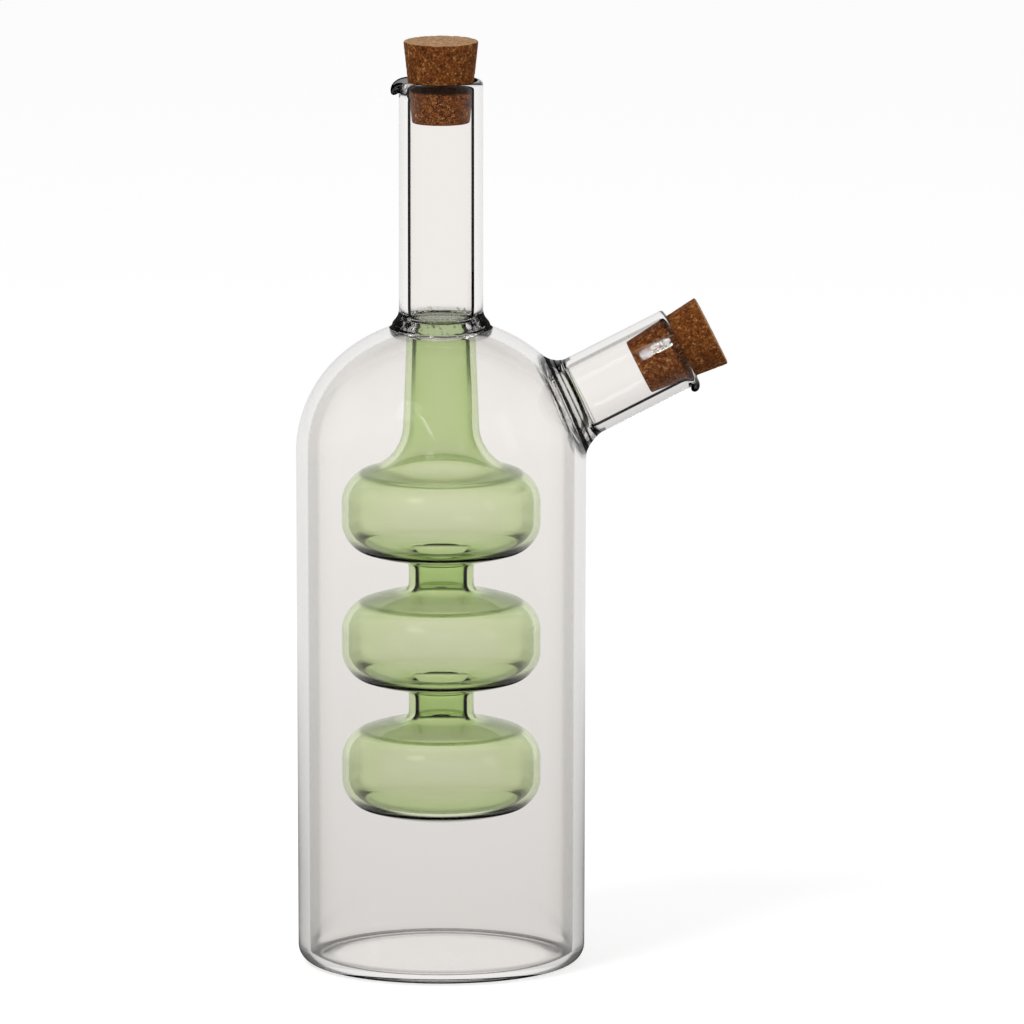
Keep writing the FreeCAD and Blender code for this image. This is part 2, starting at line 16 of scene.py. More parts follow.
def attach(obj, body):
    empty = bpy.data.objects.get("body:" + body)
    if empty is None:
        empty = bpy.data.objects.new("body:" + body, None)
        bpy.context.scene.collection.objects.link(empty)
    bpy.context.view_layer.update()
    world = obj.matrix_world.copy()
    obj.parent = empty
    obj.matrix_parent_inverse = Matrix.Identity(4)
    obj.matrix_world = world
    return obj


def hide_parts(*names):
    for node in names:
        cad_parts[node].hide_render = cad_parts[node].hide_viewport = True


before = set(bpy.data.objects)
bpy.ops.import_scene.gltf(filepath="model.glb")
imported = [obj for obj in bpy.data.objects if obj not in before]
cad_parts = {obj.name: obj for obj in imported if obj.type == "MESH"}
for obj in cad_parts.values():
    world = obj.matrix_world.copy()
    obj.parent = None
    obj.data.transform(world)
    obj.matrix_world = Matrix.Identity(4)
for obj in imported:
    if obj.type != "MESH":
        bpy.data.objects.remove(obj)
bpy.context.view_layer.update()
scene = bpy.context.scene
MM = 0.001


def in_scene(name, data):
    """An object that holds a mesh, a lamp or a camera, put into the scene."""
    obj = bpy.data.objects.new(name, data)
    scene.collection.objects.link(obj)
    return obj


# %% [markdown]
# ## Camera
# A product photograph of a small object is taken from far away with a long lens, so that upright sides
# stay parallel. The picture shows the rims as thin ellipses, which gives the camera's height: their
# depth over their width is the sine of the elevation, about ten degrees. The bottle stands left of the
# middle, so the camera aims to the right of its axis. The two aims are in millimetres.

# %% Place the camera
CAMERA_AZIMUTH = -3.0
CAMERA_ELEVATION = 9.7
CAMERA_DISTANCE = 5.0
AIM_RIGHT = 18.5
AIM_HEIGHT = 119.0
LENS, SENSOR_WIDTH = 673.0, 36.0

turn = math.radians(CAMERA_AZIMUTH)
rise = math.radians(CAMERA_ELEVATION)
back = Vector((math.sin(turn) * math.cos(rise), -math.cos(turn) * math.cos(rise), math.sin(rise)))
right = Vector((math.cos(turn), math.sin(turn), 0.0))
aim = right * AIM_RIGHT * MM + Vector((0, 0, AIM_HEIGHT * MM))
camera_data = bpy.data.cameras.new("camera")
camera_data.lens = LENS
camera_data.sensor_width = SENSOR_WIDTH
camera_data.clip_end = 100.0
camera = in_scene("camera", camera_data)
camera.location = aim + back * CAMERA_DISTANCE
camera.rotation_euler = back.to_track_quat("Z", "Y").to_euler()
scene.camera = camera
print("camera at", [round(x, 3) for x in camera.location], "metres")

# %% [markdown]
# ## Colours and nodes
# Colours are written as sRGB hex values, as a paint program shows them. The shaders count in linear
# light, so one function turns a hex value to linear. One more adds a node with its settings and links,
# and one fills a colour ramp, which keeps each material short enough to read as a recipe.


# %% Colour and node helpers
def linear(hex_colour):
    """The linear colour, with alpha 1, of an sRGB hex value such as C9A26B."""
    steps = [int(hex_colour[i:i + 2], 16) / 255 for i in (0, 2, 4)]
    return [c / 12.92 if c <= 0.04045 else ((c + 0.055) / 1.055) ** 2.4 for c in steps] + [1.0]


def add(tree, kind, inputs=None, **settings):
    """One node of a kind, with its settings, and its inputs by name or number.

    An input is a value, an output of another node, or a node, which stands for its first output.
    """
    node = tree.nodes.new(kind)
    for name, value in settings.items():
        setattr(node, name, value)
    for key, value in (inputs or {}).items():
        if isinstance(value, bpy.types.Node):
            value = value.outputs[0]
        if isinstance(value, bpy.types.NodeSocket):
            tree.links.new(value, node.inputs[key])
        else:
            node.inputs[key].default_value = value
    return node


def set_stops(ramp, stops):
    """Give a colour ramp its stops, each a position and a hex colour."""
    elements = ramp.color_ramp.elements
    for position, colour in stops[1:-1]:
        elements.new(position)
    for element, (position, colour) in zip(elements, stops):
        element.position = position
        element.color = linear(colour)
    return ramp.outputs["Color"]


def new_material(name):
    """An empty node material and its output node."""
    material = bpy.data.materials.new(name)
    material.use_nodes = True
    material.node_tree.nodes.clear()
    return material, add(material.node_tree, "ShaderNodeOutputMaterial")


# %% [markdown]
# ## Studio
# Glass has no colour of its own to show: it shows the room. A photographer hangs white cloth behind and
# under it and black card overhead and beside it, so that its edges draw themselves in dark lines. Here
# the world is white at eye level and grey overhead, and the floor is painted dark in reflections close to
# the bottle and painted grey near it where it is seen through the glass, as painted shade. The white of
# floor and backdrop comes from what the camera, reflections and refracted rays see of them, not from more
# light on the object, so the corks keep their own colour. Two softboxes light the corks and cast the
# shadow, and they don't show in reflections. A thin strip shows in reflections only: it draws the
# highlights on the spout and on the cork behind its glass.

# %% World
world = bpy.data.worlds.new("studio")
scene.world = world
world.use_nodes = True
tree = world.node_tree
tree.nodes.clear()
direction = add(tree, "ShaderNodeTexCoord")
up = add(tree, "ShaderNodeSeparateXYZ", {0: direction.outputs["Generated"]})
sky = add(tree, "ShaderNodeValToRGB", {"Fac": up.outputs["Z"]})
sky = set_stops(sky, ((0.50, "FFFFFF"), (0.72, "6A6A6A")))
path = add(tree, "ShaderNodeLightPath")
MIRRORED_ROOM = 0.80
levels = add(tree, "ShaderNodeMath", {
    0: path.outputs["Is Glossy Ray"], 1: MIRRORED_ROOM}, operation="MULTIPLY")
for ray in ("Is Transmission Ray", "Is Camera Ray", "Is Diffuse Ray"):
    levels = add(tree, "ShaderNodeMath", {0: levels, 1: path.outputs[ray]}, operation="MAXIMUM")
lit = add(tree, "ShaderNodeMix", {
    0: path.outputs["Is Diffuse Ray"], 6: sky, 7: linear("B4B4B4")}, data_type="RGBA")
plain = add(tree, "ShaderNodeMix", {
    0: path.outputs["Is Camera Ray"], 6: lit.outputs[2], 7: linear("FFFFFF")}, data_type="RGBA")
room = add(tree, "ShaderNodeBackground", {"Color": plain.outputs[2], "Strength": levels})
add(tree, "ShaderNodeOutputWorld", {"Surface": room})

# %% Floor
# White paper that takes the bottle's shadow. Seen through the glass it is painted grey near the bottle,
# as painted shade, and the disc under the base is painted a little brighter, as painted light. In
# reflections it is painted dark there. Cycles counts a refracted ray as glossy too, so only what is left
# of glossy without it is a reflection. Each pair is for near the bottle and far from it, and a reach is
# in metres. The camera itself sees a plain pale grey.
THROUGH_GLASS, THROUGH_REACH = (0.75, 0.96), (0.04, 0.9)
MIRRORED_FLOOR, MIRRORED_REACH = (0.04, 0.9), (0.15, 0.5)
UNDER_BASE, BASE_REACH, TO_CAMERA = 0.16, 0.034, 0.68
paper, output = new_material("white_paper_sweep")
tree = paper.node_tree
path = add(tree, "ShaderNodeLightPath")
glossy_ray = path.outputs["Is Glossy Ray"]
bent_ray = path.outputs["Is Transmission Ray"]
spot = add(tree, "ShaderNodeTexCoord")
distance = add(tree, "ShaderNodeVectorMath", {0: spot.outputs["Object"]}, operation="LENGTH")
distance = distance.outputs["Value"]
far = add(tree, "ShaderNodeMapRange", {
    "Value": distance, "From Min": THROUGH_REACH[0], "From Max": THROUGH_REACH[1],
    "To Min": THROUGH_GLASS[0], "To Max": THROUGH_GLASS[1]})
under = add(tree, "ShaderNodeMath", {0: distance, 1: BASE_REACH}, operation="LESS_THAN")
under = add(tree, "ShaderNodeMath", {0: under, 1: UNDER_BASE}, operation="MULTIPLY")
through = add(tree, "ShaderNodeMath", {0: far, 1: under}, operation="ADD")
seen = add(tree, "ShaderNodeMath", {0: bent_ray, 1: through}, operation="MULTIPLY")
mirrored = add(tree, "ShaderNodeMapRange", {
    "Value": distance, "From Min": MIRRORED_REACH[0], "From Max": MIRRORED_REACH[1],
    "To Min": MIRRORED_FLOOR[0], "To Max": MIRRORED_FLOOR[1]})
turned = add(tree, "ShaderNodeMath", {0: glossy_ray, 1: bent_ray}, operation="SUBTRACT", use_clamp=True)
mirrored = add(tree, "ShaderNodeMath", {0: turned, 1: mirrored}, operation="MULTIPLY")
seen = add(tree, "ShaderNodeMath", {0: seen, 1: mirrored}, operation="ADD")
shown = add(tree, "ShaderNodeMath", {
    0: path.outputs["Is Camera Ray"], 1: TO_CAMERA}, operation="MULTIPLY")
seen = add(tree, "ShaderNodeMath", {0: seen, 1: shown}, operation="ADD")
bent = add(tree, "ShaderNodeMath", {0: glossy_ray, 1: bent_ray}, operation="MAXIMUM")
plain = add(tree, "ShaderNodeMix", {
    0: bent, 6: linear("C8C8C8"), 7: linear("202020")}, data_type="RGBA")
sheet_white = add(tree, "ShaderNodeBsdfDiffuse", {"Color": plain.outputs[2]})
glow = add(tree, "ShaderNodeEmission", {"Color": linear("FFFFFF"), "Strength": seen})
lifted = add(tree, "ShaderNodeAddShader", {0: sheet_white, 1: glow})
tree.links.new(lifted.outputs[0], output.inputs["Surface"])

FLOOR_HALF, FLOOR_DROP = 6.0, 0.0002
floor_mesh = bpy.data.meshes.new("floor")
corners = [(x * FLOOR_HALF, y * FLOOR_HALF, -FLOOR_DROP)
           for x, y in ((-1, -1), (1, -1), (1, 1), (-1, 1))]
floor_mesh.from_pydata(corners, [], [(0, 1, 2, 3)])
floor = in_scene("floor", floor_mesh)
floor.data.materials.append(paper)


# %% Lamps
def lamp(name, place, target, width, depth, power, along=(0, 0, 1), mirrored=True):
    """An area lamp that faces a target, in metres, its depth lying along a direction.

    A mirrored lamp shows in reflections and lights nothing dull, any other one does the reverse.
    """
    data = bpy.data.lights.new(name, "AREA")
    data.shape = "RECTANGLE"
    data.size = width
    data.size_y = depth
    data.energy = power
    light = in_scene(name, data)
    light.location = place
    outward = (Vector(place) - Vector(target)).normalized()
    upward = Vector(along)
    upward = (upward - outward * upward.dot(outward)).normalized()
    turned = Matrix((upward.cross(outward), upward, outward)).transposed()
    light.rotation_euler = turned.to_euler()
    light.visible_glossy = mirrored
    light.visible_diffuse = not mirrored
    print(name, power, "W")


lamp("top_softbox", (-0.7, -0.8, 1.3), (0, 0, 0.1), 0.5, 0.5, 9.0, mirrored=False)
lamp("side_softbox", (1.2, -0.7, 0.7), (0, 0, 0.15), 0.3, 0.9, 3.0, mirrored=False)
lamp("thin_strip", (-0.1858, -0.7573, 0.6049), (0.062, -0.009, 0.166), 0.013, 0.45, 2.2,
     along=(-0.374, 0.558, 0.739))

scene.view_settings.view_transform = "Standard"
# A ray that crosses the bottle and a bulb meets eight faces, and many more where it is turned back.
FACES_CROSSED, TIMES_MIRRORED = 40, 16
scene.cycles.max_bounces = FACES_CROSSED
scene.cycles.transmission_bounces = FACES_CROSSED
scene.cycles.glossy_bounces = TIMES_MIRRORED
scene.cycles.transparent_max_bounces = FACES_CROSSED

# %% [markdown]
# ## Sizes of the glass
# The outlines are half sections, radius against height in millimetres. The values are those of the CAD
# model, apart from the hidden seam of green and clear glass, which lies where the colour changes on the
# real one. Small joins are rounded here as a flame rounds them.

# %% Sizes
BODY_RADIUS, FOOT_RADIUS, BODY_WALL = 37.9, 37.45, 3.0
BASE_WALL, FOOT_ROUND = 2.2, 4.6
SHOULDER_HEIGHT, SHOULDER_ARC, DOME_TURN = 135.0, 33.5, 50.0
NECK_MOUTH, NECK_RADIUS, NECK_BORE = 233.0, 11.0, 8.65
COLLAR_TOP = 172.7
SPOUT_RADIUS, SPOUT_BORE, SPOUT_TILT = 10.7, 8.65, 26.8
SPOUT_ROOT_ANGLE, SPOUT_LENGTH = 23.7, 31.0

OVERHANG = BODY_RADIUS - SHOULDER_ARC
CROWN_CENTRE = SHOULDER_HEIGHT - OVERHANG * math.tan(math.radians(DOME_TURN))
CROWN_ARC = SHOULDER_ARC + OVERHANG / math.cos(math.radians(DOME_TURN))
print("dome's crown has a radius of", round(CROWN_ARC, 2), "mm")


# %% Lines of an outline
def bow(centre, reach, start, end, steps):
    """Points on an arc about a centre, from one angle to another in degrees."""
    angles = np.radians(np.linspace(start, end, steps + 1))
    return [(centre[0] + reach * math.cos(a), centre[1] + reach * math.sin(a)) for a in angles]


def run(start, end, steps):
    """Points on a straight run, without its first one."""
    share = np.linspace(0, 1, steps + 1)[1:]
    return [(start[0] + (end[0] - start[0]) * s, start[1] + (end[1] - start[1]) * s) for s in share]


def bend(start, first, second, end, steps):
    """Points on a cubic curve, without its first one. A coordinate may be a row of numbers."""
    points = []
    for s in np.linspace(0, 1, steps + 1)[1:]:
        weights = ((1 - s) ** 3, 3 * s * (1 - s) ** 2, 3 * s * s * (1 - s), s ** 3)
        points.append(tuple(sum(w * p[k] for w, p in zip(weights, (start, first, second, end)))
                            for k in (0, 1)))
    return points


def crown_height(reach, inset):
    """Height of the dome's crown at a radius, drawn in by an inset."""
    return CROWN_CENTRE + math.sqrt((CROWN_ARC - inset) ** 2 - reach ** 2)


# %% [markdown]
# ## Turned glass with Geometry Nodes
# Tubing and bulbs are spun in the flame, so every section is round and one rule makes them all: carry a
# half section once round the axis. Curves with a Screw modifier, bmesh.ops.spin or a node tree could
# do it. The tree is used here, because it keeps the rule as one block with named inputs: a grid gets one
# column for each step round the axis and one row for each point of the section.

# %% Build the turning tree
turning = bpy.data.node_groups.new("turn_section", "GeometryNodeTree")
turning.interface.new_socket("Section", in_out="INPUT", socket_type="NodeSocketGeometry")
steps_socket = turning.interface.new_socket("Steps Round", in_out="INPUT", socket_type="NodeSocketInt")
finish_socket = turning.interface.new_socket("Finish", in_out="INPUT", socket_type="NodeSocketMaterial")
turning.interface.new_socket("Turned", in_out="OUTPUT", socket_type="NodeSocketGeometry")
given = add(turning, "NodeGroupInput")
count = add(turning, "GeometryNodeAttributeDomainSize", {
    "Geometry": given.outputs["Section"]}, component="MESH")
columns = add(turning, "ShaderNodeMath", {0: given.outputs["Steps Round"], 1: 1.0}, operation="ADD")
cells = add(turning, "GeometryNodeMeshGrid", {
    "Size X": 1.0, "Size Y": 1.0, "Vertices X": columns, "Vertices Y": count.outputs["Point Count"]})
where = add(turning, "GeometryNodeInputPosition")
parts = add(turning, "ShaderNodeSeparateXYZ", {0: where})
angle = add(turning, "ShaderNodeMath", {0: parts.outputs["X"], 1: 0.5}, operation="ADD")
angle = add(turning, "ShaderNodeMath", {0: angle, 1: 2 * math.pi}, operation="MULTIPLY")
last = add(turning, "ShaderNodeMath", {0: count.outputs["Point Count"], 1: 1.0}, operation="SUBTRACT")
row = add(turning, "ShaderNodeMath", {0: parts.outputs["Y"], 1: 0.5}, operation="ADD")
row = add(turning, "ShaderNodeMath", {0: row, 1: last}, operation="MULTIPLY")
row = add(turning, "ShaderNodeMath", {0: row}, operation="ROUND")
sampled = add(turning, "GeometryNodeSampleIndex", {
    "Geometry": given.outputs["Section"], "Value": where, "Index": row},
    data_type="FLOAT_VECTOR", domain="POINT")
flat = add(turning, "ShaderNodeSeparateXYZ", {0: sampled})
cosine = add(turning, "ShaderNodeMath", {0: angle}, operation="COSINE")
sine = add(turning, "ShaderNodeMath", {0: angle}, operation="SINE")
across = add(turning, "ShaderNodeMath", {0: flat.outputs["X"], 1: cosine}, operation="MULTIPLY")
deep = add(turning, "ShaderNodeMath", {0: flat.outputs["X"], 1: sine}, operation="MULTIPLY")
place = add(turning, "ShaderNodeCombineXYZ", {0: across, 1: deep, 2: flat.outputs["Z"]})
kept = add(turning, "GeometryNodeStoreNamedAttribute", {
    "Geometry": cells.outputs["Mesh"], "Name": "row", "Value": row}, data_type="FLOAT", domain="POINT")
turned = add(turning, "GeometryNodeSetPosition", {"Geometry": kept, "Position": place})
joined = add(turning, "GeometryNodeMergeByDistance", {"Geometry": turned, "Distance": 1e-7})
soft = add(turning, "GeometryNodeSetShadeSmooth", {"Geometry": joined})
real = add(turning, "GeometryNodeRealizeInstances", {0: soft})
coated = add(turning, "GeometryNodeSetMaterial", {
    "Geometry": real, "Material": given.outputs["Finish"]})
add(turning, "NodeGroupOutput", {0: coated})
print("turning tree has", len(turning.nodes), "nodes")


# %% Turn a section
def plain_mesh(obj, name):
    """The evaluated object as a plain mesh in an object of its own."""
    bpy.context.view_layer.update()
    evaluated = obj.evaluated_get(bpy.context.evaluated_depsgraph_get())
    mesh = bpy.data.meshes.new_from_object(evaluated)
    mesh.name = name
    bpy.data.objects.remove(obj)
    return in_scene(name, mesh)


def skin_of(piece):
    """A piece's mesh, ready to be worked on, with its faces turned outwards."""
    skin = bmesh.new()
    skin.from_mesh(piece.data)
    bmesh.ops.recalc_face_normals(skin, faces=skin.faces)
    return skin


def set_finishes(mesh, *finishes):
    """Give a mesh its materials in order, with every face on the first."""
    mesh.materials.clear()
    for finish in finishes:
        mesh.materials.append(finish)
    mesh.polygons.foreach_set("material_index", [0] * len(mesh.polygons))


def turn_section(name, section, steps, finish):
    """Turn a half section, given in millimetres, about the upright axis."""
    mesh = bpy.data.meshes.new(name + "_section")
    edges = [(i, i + 1) for i in range(len(section) - 1)]
    mesh.from_pydata([(r * MM, 0, z * MM) for r, z in section], edges, [])
    holder = in_scene(name + "_section", mesh)
    modifier = holder.modifiers.new("turn", "NODES")
    modifier.node_group = turning
    modifier[steps_socket.identifier] = steps
    modifier[finish_socket.identifier] = finish
    piece = plain_mesh(holder, name)
    set_finishes(piece.data, finish)
    print(name, len(piece.data.vertices), "points from a section of", len(section))
    return piece


# %% [markdown]
# ## Finishes of the glass
# Borosilicate glass is clear, with an index of 1.47. A real wall is darker where light runs a long way
# through it, and shows dark lines where it turns back or bends the darker parts of the room, most near
# the critical angle. A volume could take that light, but two glasses that are melted together would each
# need the other's. Here the dark lines are painted shade on the surface: a ramp on the angle of view for
# the outside, a ramp on Fresnel, which is the share that is turned back, for the inside of a wall, and a
# black diffuse shader mixed in. Three attributes of the mesh steer it. "inside" says how much of a point
# belongs to the inside of a wall and shows the painted black line of the critical angle. The second
# darkens what is seen through rims and folds, partly for thicker glass and mostly as painted shade. The
# third paints black the rippled glass where two tubes were melted together, from the side first. A low
# Specular Tint keeps the pale room from veiling what stands behind the glass. The inner vessel is
# coloured with iron and chromium, which take red and most of the blue.

# %% Glass materials
GLASS_IOR = 1.473
# Width in millimetres of the ripples that melting leaves where tubes are sealed together, which break up
# the painted black there.
RIPPLE = 1.4


def glass(name, outside, inside, thickness_and_shade, first):
    """Glass with painted shade: a colour by angle of view outside, by the share turned back inside, and
    darker where thicker or shaded.

    first is the share turned back at which the painted black line begins.
    """
    material, output = new_material(name)
    tree = material.node_tree
    facing = add(tree, "ShaderNodeLayerWeight", {"Blend": 0.5})
    turned_back = add(tree, "ShaderNodeFresnel", {"IOR": GLASS_IOR})
    outer = set_stops(add(tree, "ShaderNodeValToRGB", {"Fac": facing.outputs["Facing"]}), outside)
    inner = set_stops(add(tree, "ShaderNodeValToRGB", {"Fac": turned_back}), inside)
    side = add(tree, "ShaderNodeAttribute", attribute_name="inside")
    colour = add(tree, "ShaderNodeMix", {0: side.outputs["Fac"], 6: outer, 7: inner}, data_type="RGBA")
    wall = add(tree, "ShaderNodeAttribute", attribute_name="thickness_and_shade")
    body = add(tree, "ShaderNodeMix", {
        0: wall.outputs["Fac"], 6: colour.outputs[2], 7: linear(thickness_and_shade)},
        data_type="RGBA", blend_type="MULTIPLY")
    surface = add(tree, "ShaderNodeBsdfPrincipled", {
        "Base Color": body.outputs[2], "Roughness": 0.0, "IOR": GLASS_IOR, "Transmission Weight": 1.0,
        "Specular Tint": linear("5E5E5E")})
    # Painted shade: a black diffuse shader is mixed in at the black line of the critical angle and in the
    # folds of the seals.
    line = add(tree, "ShaderNodeValToRGB", {"Fac": turned_back})
    line = set_stops(line, (
        (first, "000000"), (first + 0.03, "FFFFFF"), (0.95, "FFFFFF"), (0.98, "000000")))
    strength = add(tree, "ShaderNodeMath", {0: side.outputs["Fac"], 1: 2.0}, operation="POWER")
    strength = add(tree, "ShaderNodeMath", {0: strength, 1: line}, operation="MULTIPLY")
    spot = add(tree, "ShaderNodeTexCoord")
    ripple = add(tree, "ShaderNodeTexNoise", {
        "Vector": spot.outputs["Object"], "Scale": 1 / (RIPPLE * MM), "Detail": 1.0})
    ripple = add(tree, "ShaderNodeMapRange", {
        "Value": ripple.outputs["Fac"], "From Min": 0.3, "From Max": 0.7,
        "To Min": 0.78, "To Max": 1.22})
    steep = add(tree, "ShaderNodeMath", {0: facing.outputs["Facing"], 1: ripple}, operation="ADD")
    fold_shade = add(tree, "ShaderNodeAttribute", attribute_name="fold_shade")
    steep = add(tree, "ShaderNodeMath", {0: steep, 1: fold_shade.outputs["Fac"]}, operation="MULTIPLY")
    solid = add(tree, "ShaderNodeMapRange", {
        "Value": steep, "From Min": 0.82, "From Max": 1.0, "To Max": 0.94})
    strength = add(tree, "ShaderNodeMath", {0: strength, 1: solid}, operation="MAXIMUM")
    shade = add(tree, "ShaderNodeBsdfDiffuse", {"Color": linear("050505")})
    lined = add(tree, "ShaderNodeMixShader", {0: strength, 1: surface, 2: shade})
    tree.links.new(lined.outputs[0], output.inputs["Surface"])
    return material


# Clear as air from the front, with painted shade: a warm grey at the edges, black lines along the bores
# and near black through rims and folds.
clear_glass = glass(
    "borosilicate_glass_clear",
    outside=((0.0, "F9F7F5"), (0.40, "F8F6F4"), (0.56, "ECEAE7"), (0.80, "D9D7D3"), (1.0, "A6A6A4")),
    inside=((0.04, "F9F7F5"), (0.11, "F4F2F0"), (0.15, "10100E"), (1.0, "060606")),
    thickness_and_shade="1C1C1A", first=0.125)
# A light bottle green that deepens towards the edges, partly for the longer path and partly as painted
# shade, and is painted near black under the bulbs as painted shade.
green_glass = glass(
    "borosilicate_glass_green",
    outside=((0.0, "EDF2DE"), (0.58, "E0EAC8"), (0.70, "C8DBA8"), (0.92, "7FA058"), (1.0, "2A4012")),
    inside=((0.04, "EDF2DE"), (0.07, "E0EACA"), (0.10, "20360E"), (0.30, "0A1204")),
    thickness_and_shade="DCEBC4", first=0.08)
# Nothing to see: light passes from clear to green glass where the two are melted together.
weld, output = new_material("glass_weld")
clear = add(weld.node_tree, "ShaderNodeBsdfTransparent", {"Color": linear("FFFFFF")})
weld.node_tree.links.new(clear.outputs[0], output.inputs["Surface"])

# %% [markdown]
# ## Clear glass: bottle, neck and side spout
# On the real cruet these are separate tubes melted into one skin, so light meets no joint inside the
# wall. Booleans could join three tubes, but leave hard creases. The bottle and neck are therefore one
# turned section: outside, over the mouth, down the bore and back along the chamber's side of the wall.
# The two weld points are where the green glass takes over.

# %% Section of bottle and neck
BASE_MIDDLE = (0.0, 0.45)
WELD_TOP = (7.25, 169.6)
WELD_FOOT = (9.0, 164.6)
SEAM_REACH, INNER_REACH = 14.6, 10.6
BORE_FOOT = 171.0
LIP_REACH, RIM_STEPS = 8.0, 14


def bottle_section():
    """The half section of bottle and neck, and the row of the mouth's highest point."""
    cap = (NECK_RADIUS - NECK_BORE) / 2
    middle = NECK_BORE + cap
    push_up, ring = (27.0, 0.4), (FOOT_RADIUS - FOOT_ROUND, 0.0)
    points = [BASE_MIDDLE] + run(BASE_MIDDLE, push_up, 6)
    points += bend(push_up, (30.0, 0.38), (30.5, 0.0), ring, 6)
    points += bow((FOOT_RADIUS - FOOT_ROUND, FOOT_ROUND), FOOT_ROUND, -90, 0, 12)[1:]
    points += run(points[-1], (BODY_RADIUS, SHOULDER_HEIGHT), 56)
    points += bow((OVERHANG, SHOULDER_HEIGHT), SHOULDER_ARC, 0, DOME_TURN, 26)[1:]
    edge = math.degrees(math.acos(SEAM_REACH / CROWN_ARC))
    points += bow((0, CROWN_CENTRE), CROWN_ARC, DOME_TURN, edge, 12)[1:]
    seam = crown_height(SEAM_REACH, 0)
    skirt = (12.8, 168.7)
    points += bend((SEAM_REACH, seam), (13.7, seam + 0.35), (12.95, 168.0), skirt, 6)
    points += bend(skirt, (12.6, 169.9), (NECK_RADIUS + 0.05, 170.2), (NECK_RADIUS, COLLAR_TOP), 10)
    points += run(points[-1], (NECK_RADIUS, NECK_MOUTH - LIP_REACH), 22)
    points += run(points[-1], (NECK_RADIUS, NECK_MOUTH - cap), 12)
    points += bow((middle, NECK_MOUTH - cap), cap, 0, 180, RIM_STEPS)[1:]
    mouth_row = len(points) - RIM_STEPS // 2
    points += run(points[-1], (NECK_BORE, NECK_MOUTH - LIP_REACH), 12)
    points += run(points[-1], (NECK_BORE, BORE_FOOT), 22)
    points += bend(points[-1], (NECK_BORE, 170.1), (WELD_TOP[0] + 0.6, 169.8), WELD_TOP, 10)
    points += [WELD_FOOT]
    inside = crown_height(INNER_REACH, BODY_WALL)
    points += bend(WELD_FOOT, (9.0, 165.6), (9.8, inside + 0.1), (INNER_REACH, inside), 6)
    start = math.degrees(math.acos(INNER_REACH / (CROWN_ARC - BODY_WALL)))
    points += bow((0, CROWN_CENTRE), CROWN_ARC - BODY_WALL, start, DOME_TURN, 14)[1:]
    points += bow((OVERHANG, SHOULDER_HEIGHT), SHOULDER_ARC - BODY_WALL, DOME_TURN, 0, 26)[1:]
    corner = FOOT_ROUND - BASE_WALL
    points += run(points[-1], (FOOT_RADIUS - BODY_WALL, FOOT_ROUND), 50)
    points += bow((FOOT_RADIUS - BODY_WALL - corner, FOOT_ROUND), corner, 0, -90, 10)[1:]
    points += run(points[-1], (0.0, BASE_WALL), 6)
    return points, mouth_row


section, mouth_row = bottle_section()
glass_skin = turn_section("clear_glass", section, 192, clear_glass)


# %% [markdown]
# ## The side spout's root
# The spout leaves the shoulder nearly square to it. A boolean would leave a hard crease where a flame
# leaves a fillet, so the spout is a grid of its own: rings round the spout's axis that start on the
# dome, turn up into the tube, go over the mouth and down the bore, and spread out on the inside of the
# dome. The dome's height along the spout's axis is found by halving steps. The dome's own faces are
# taken out there, and the gap is filled with the dome unrolled flat, so the skin stays one closed
# surface.

# %% Spout grid
tilt = math.radians(SPOUT_TILT)
spout_axis = np.array((math.cos(tilt), 0.0, math.sin(tilt)))
spout_down = np.array((math.sin(tilt), 0.0, -math.cos(tilt)))
spout_side = np.array((0.0, 1.0, 0.0))
root_angle = math.radians(SPOUT_ROOT_ANGLE)
spout_root = np.array((OVERHANG + SHOULDER_ARC * math.cos(root_angle), 0.0,
                       SHOULDER_HEIGHT + SHOULDER_ARC * math.sin(root_angle)))


def outside_distance(points):
    """How far points lie outside the bottle's outer skin, in millimetres."""
    reach = np.hypot(points[..., 0], points[..., 1])
    height = points[..., 2]
    share = (height - FOOT_ROUND) / (SHOULDER_HEIGHT - FOOT_ROUND)
    wall = reach - (FOOT_RADIUS + (BODY_RADIUS - FOOT_RADIUS) * share)
    shoulder = np.hypot(reach - OVERHANG, height - SHOULDER_HEIGHT) - SHOULDER_ARC
    crown = np.hypot(reach, height - CROWN_CENTRE) - CROWN_ARC
    slope = np.degrees(np.arctan2(height - SHOULDER_HEIGHT, reach - OVERHANG))
    return np.where(slope < 0, wall, np.where(slope < DOME_TURN, shoulder, crown))


def on_spout(around, reach, along):
    """Points at an angle round the spout's axis, a distance from it and a distance along it."""
    around, reach, along = np.broadcast_arrays(around, reach, along)
    return (spout_root + along[..., None] * spout_axis
            + (reach * np.cos(around))[..., None] * spout_down
            + (reach * np.sin(around))[..., None] * spout_side)


# Millimetres along the spout's axis between which the dome is looked for.
SEARCH_FROM, SEARCH_TO, HALVINGS = -18.0, 8.0, 40


def dome_along(around, reach, inset):
    """Where a line parallel to the spout's axis leaves the dome drawn in by an inset."""
    low = np.full(np.broadcast(around, reach).shape, SEARCH_FROM)
    high = np.full(low.shape, SEARCH_TO)
    for _ in range(HALVINGS):
        middle = (low + high) / 2
        outside = outside_distance(on_spout(around, reach, middle)) + inset > 0
        high = np.where(outside, middle, high)
        low = np.where(outside, low, middle)
    return (low + high) / 2


# The turned glass numbers its rows from 0, so the spout's rings are told apart by numbers below it.
SPOUT_SEAL, SPOUT_RIM, SPOUT_INSIDE = -1.0, -2.0, -3.0
SPOUT_STEPS = 176
WINDOW_OUT, WINDOW_IN = 16.6, 12.2
FLARE_REACH, FLARE_TOP, FUNNEL_REACH, FUNNEL_TOP = 14.3, 2.6, 10.8, -1.0
around = np.linspace(0, 2 * math.pi, SPOUT_STEPS, endpoint=False)


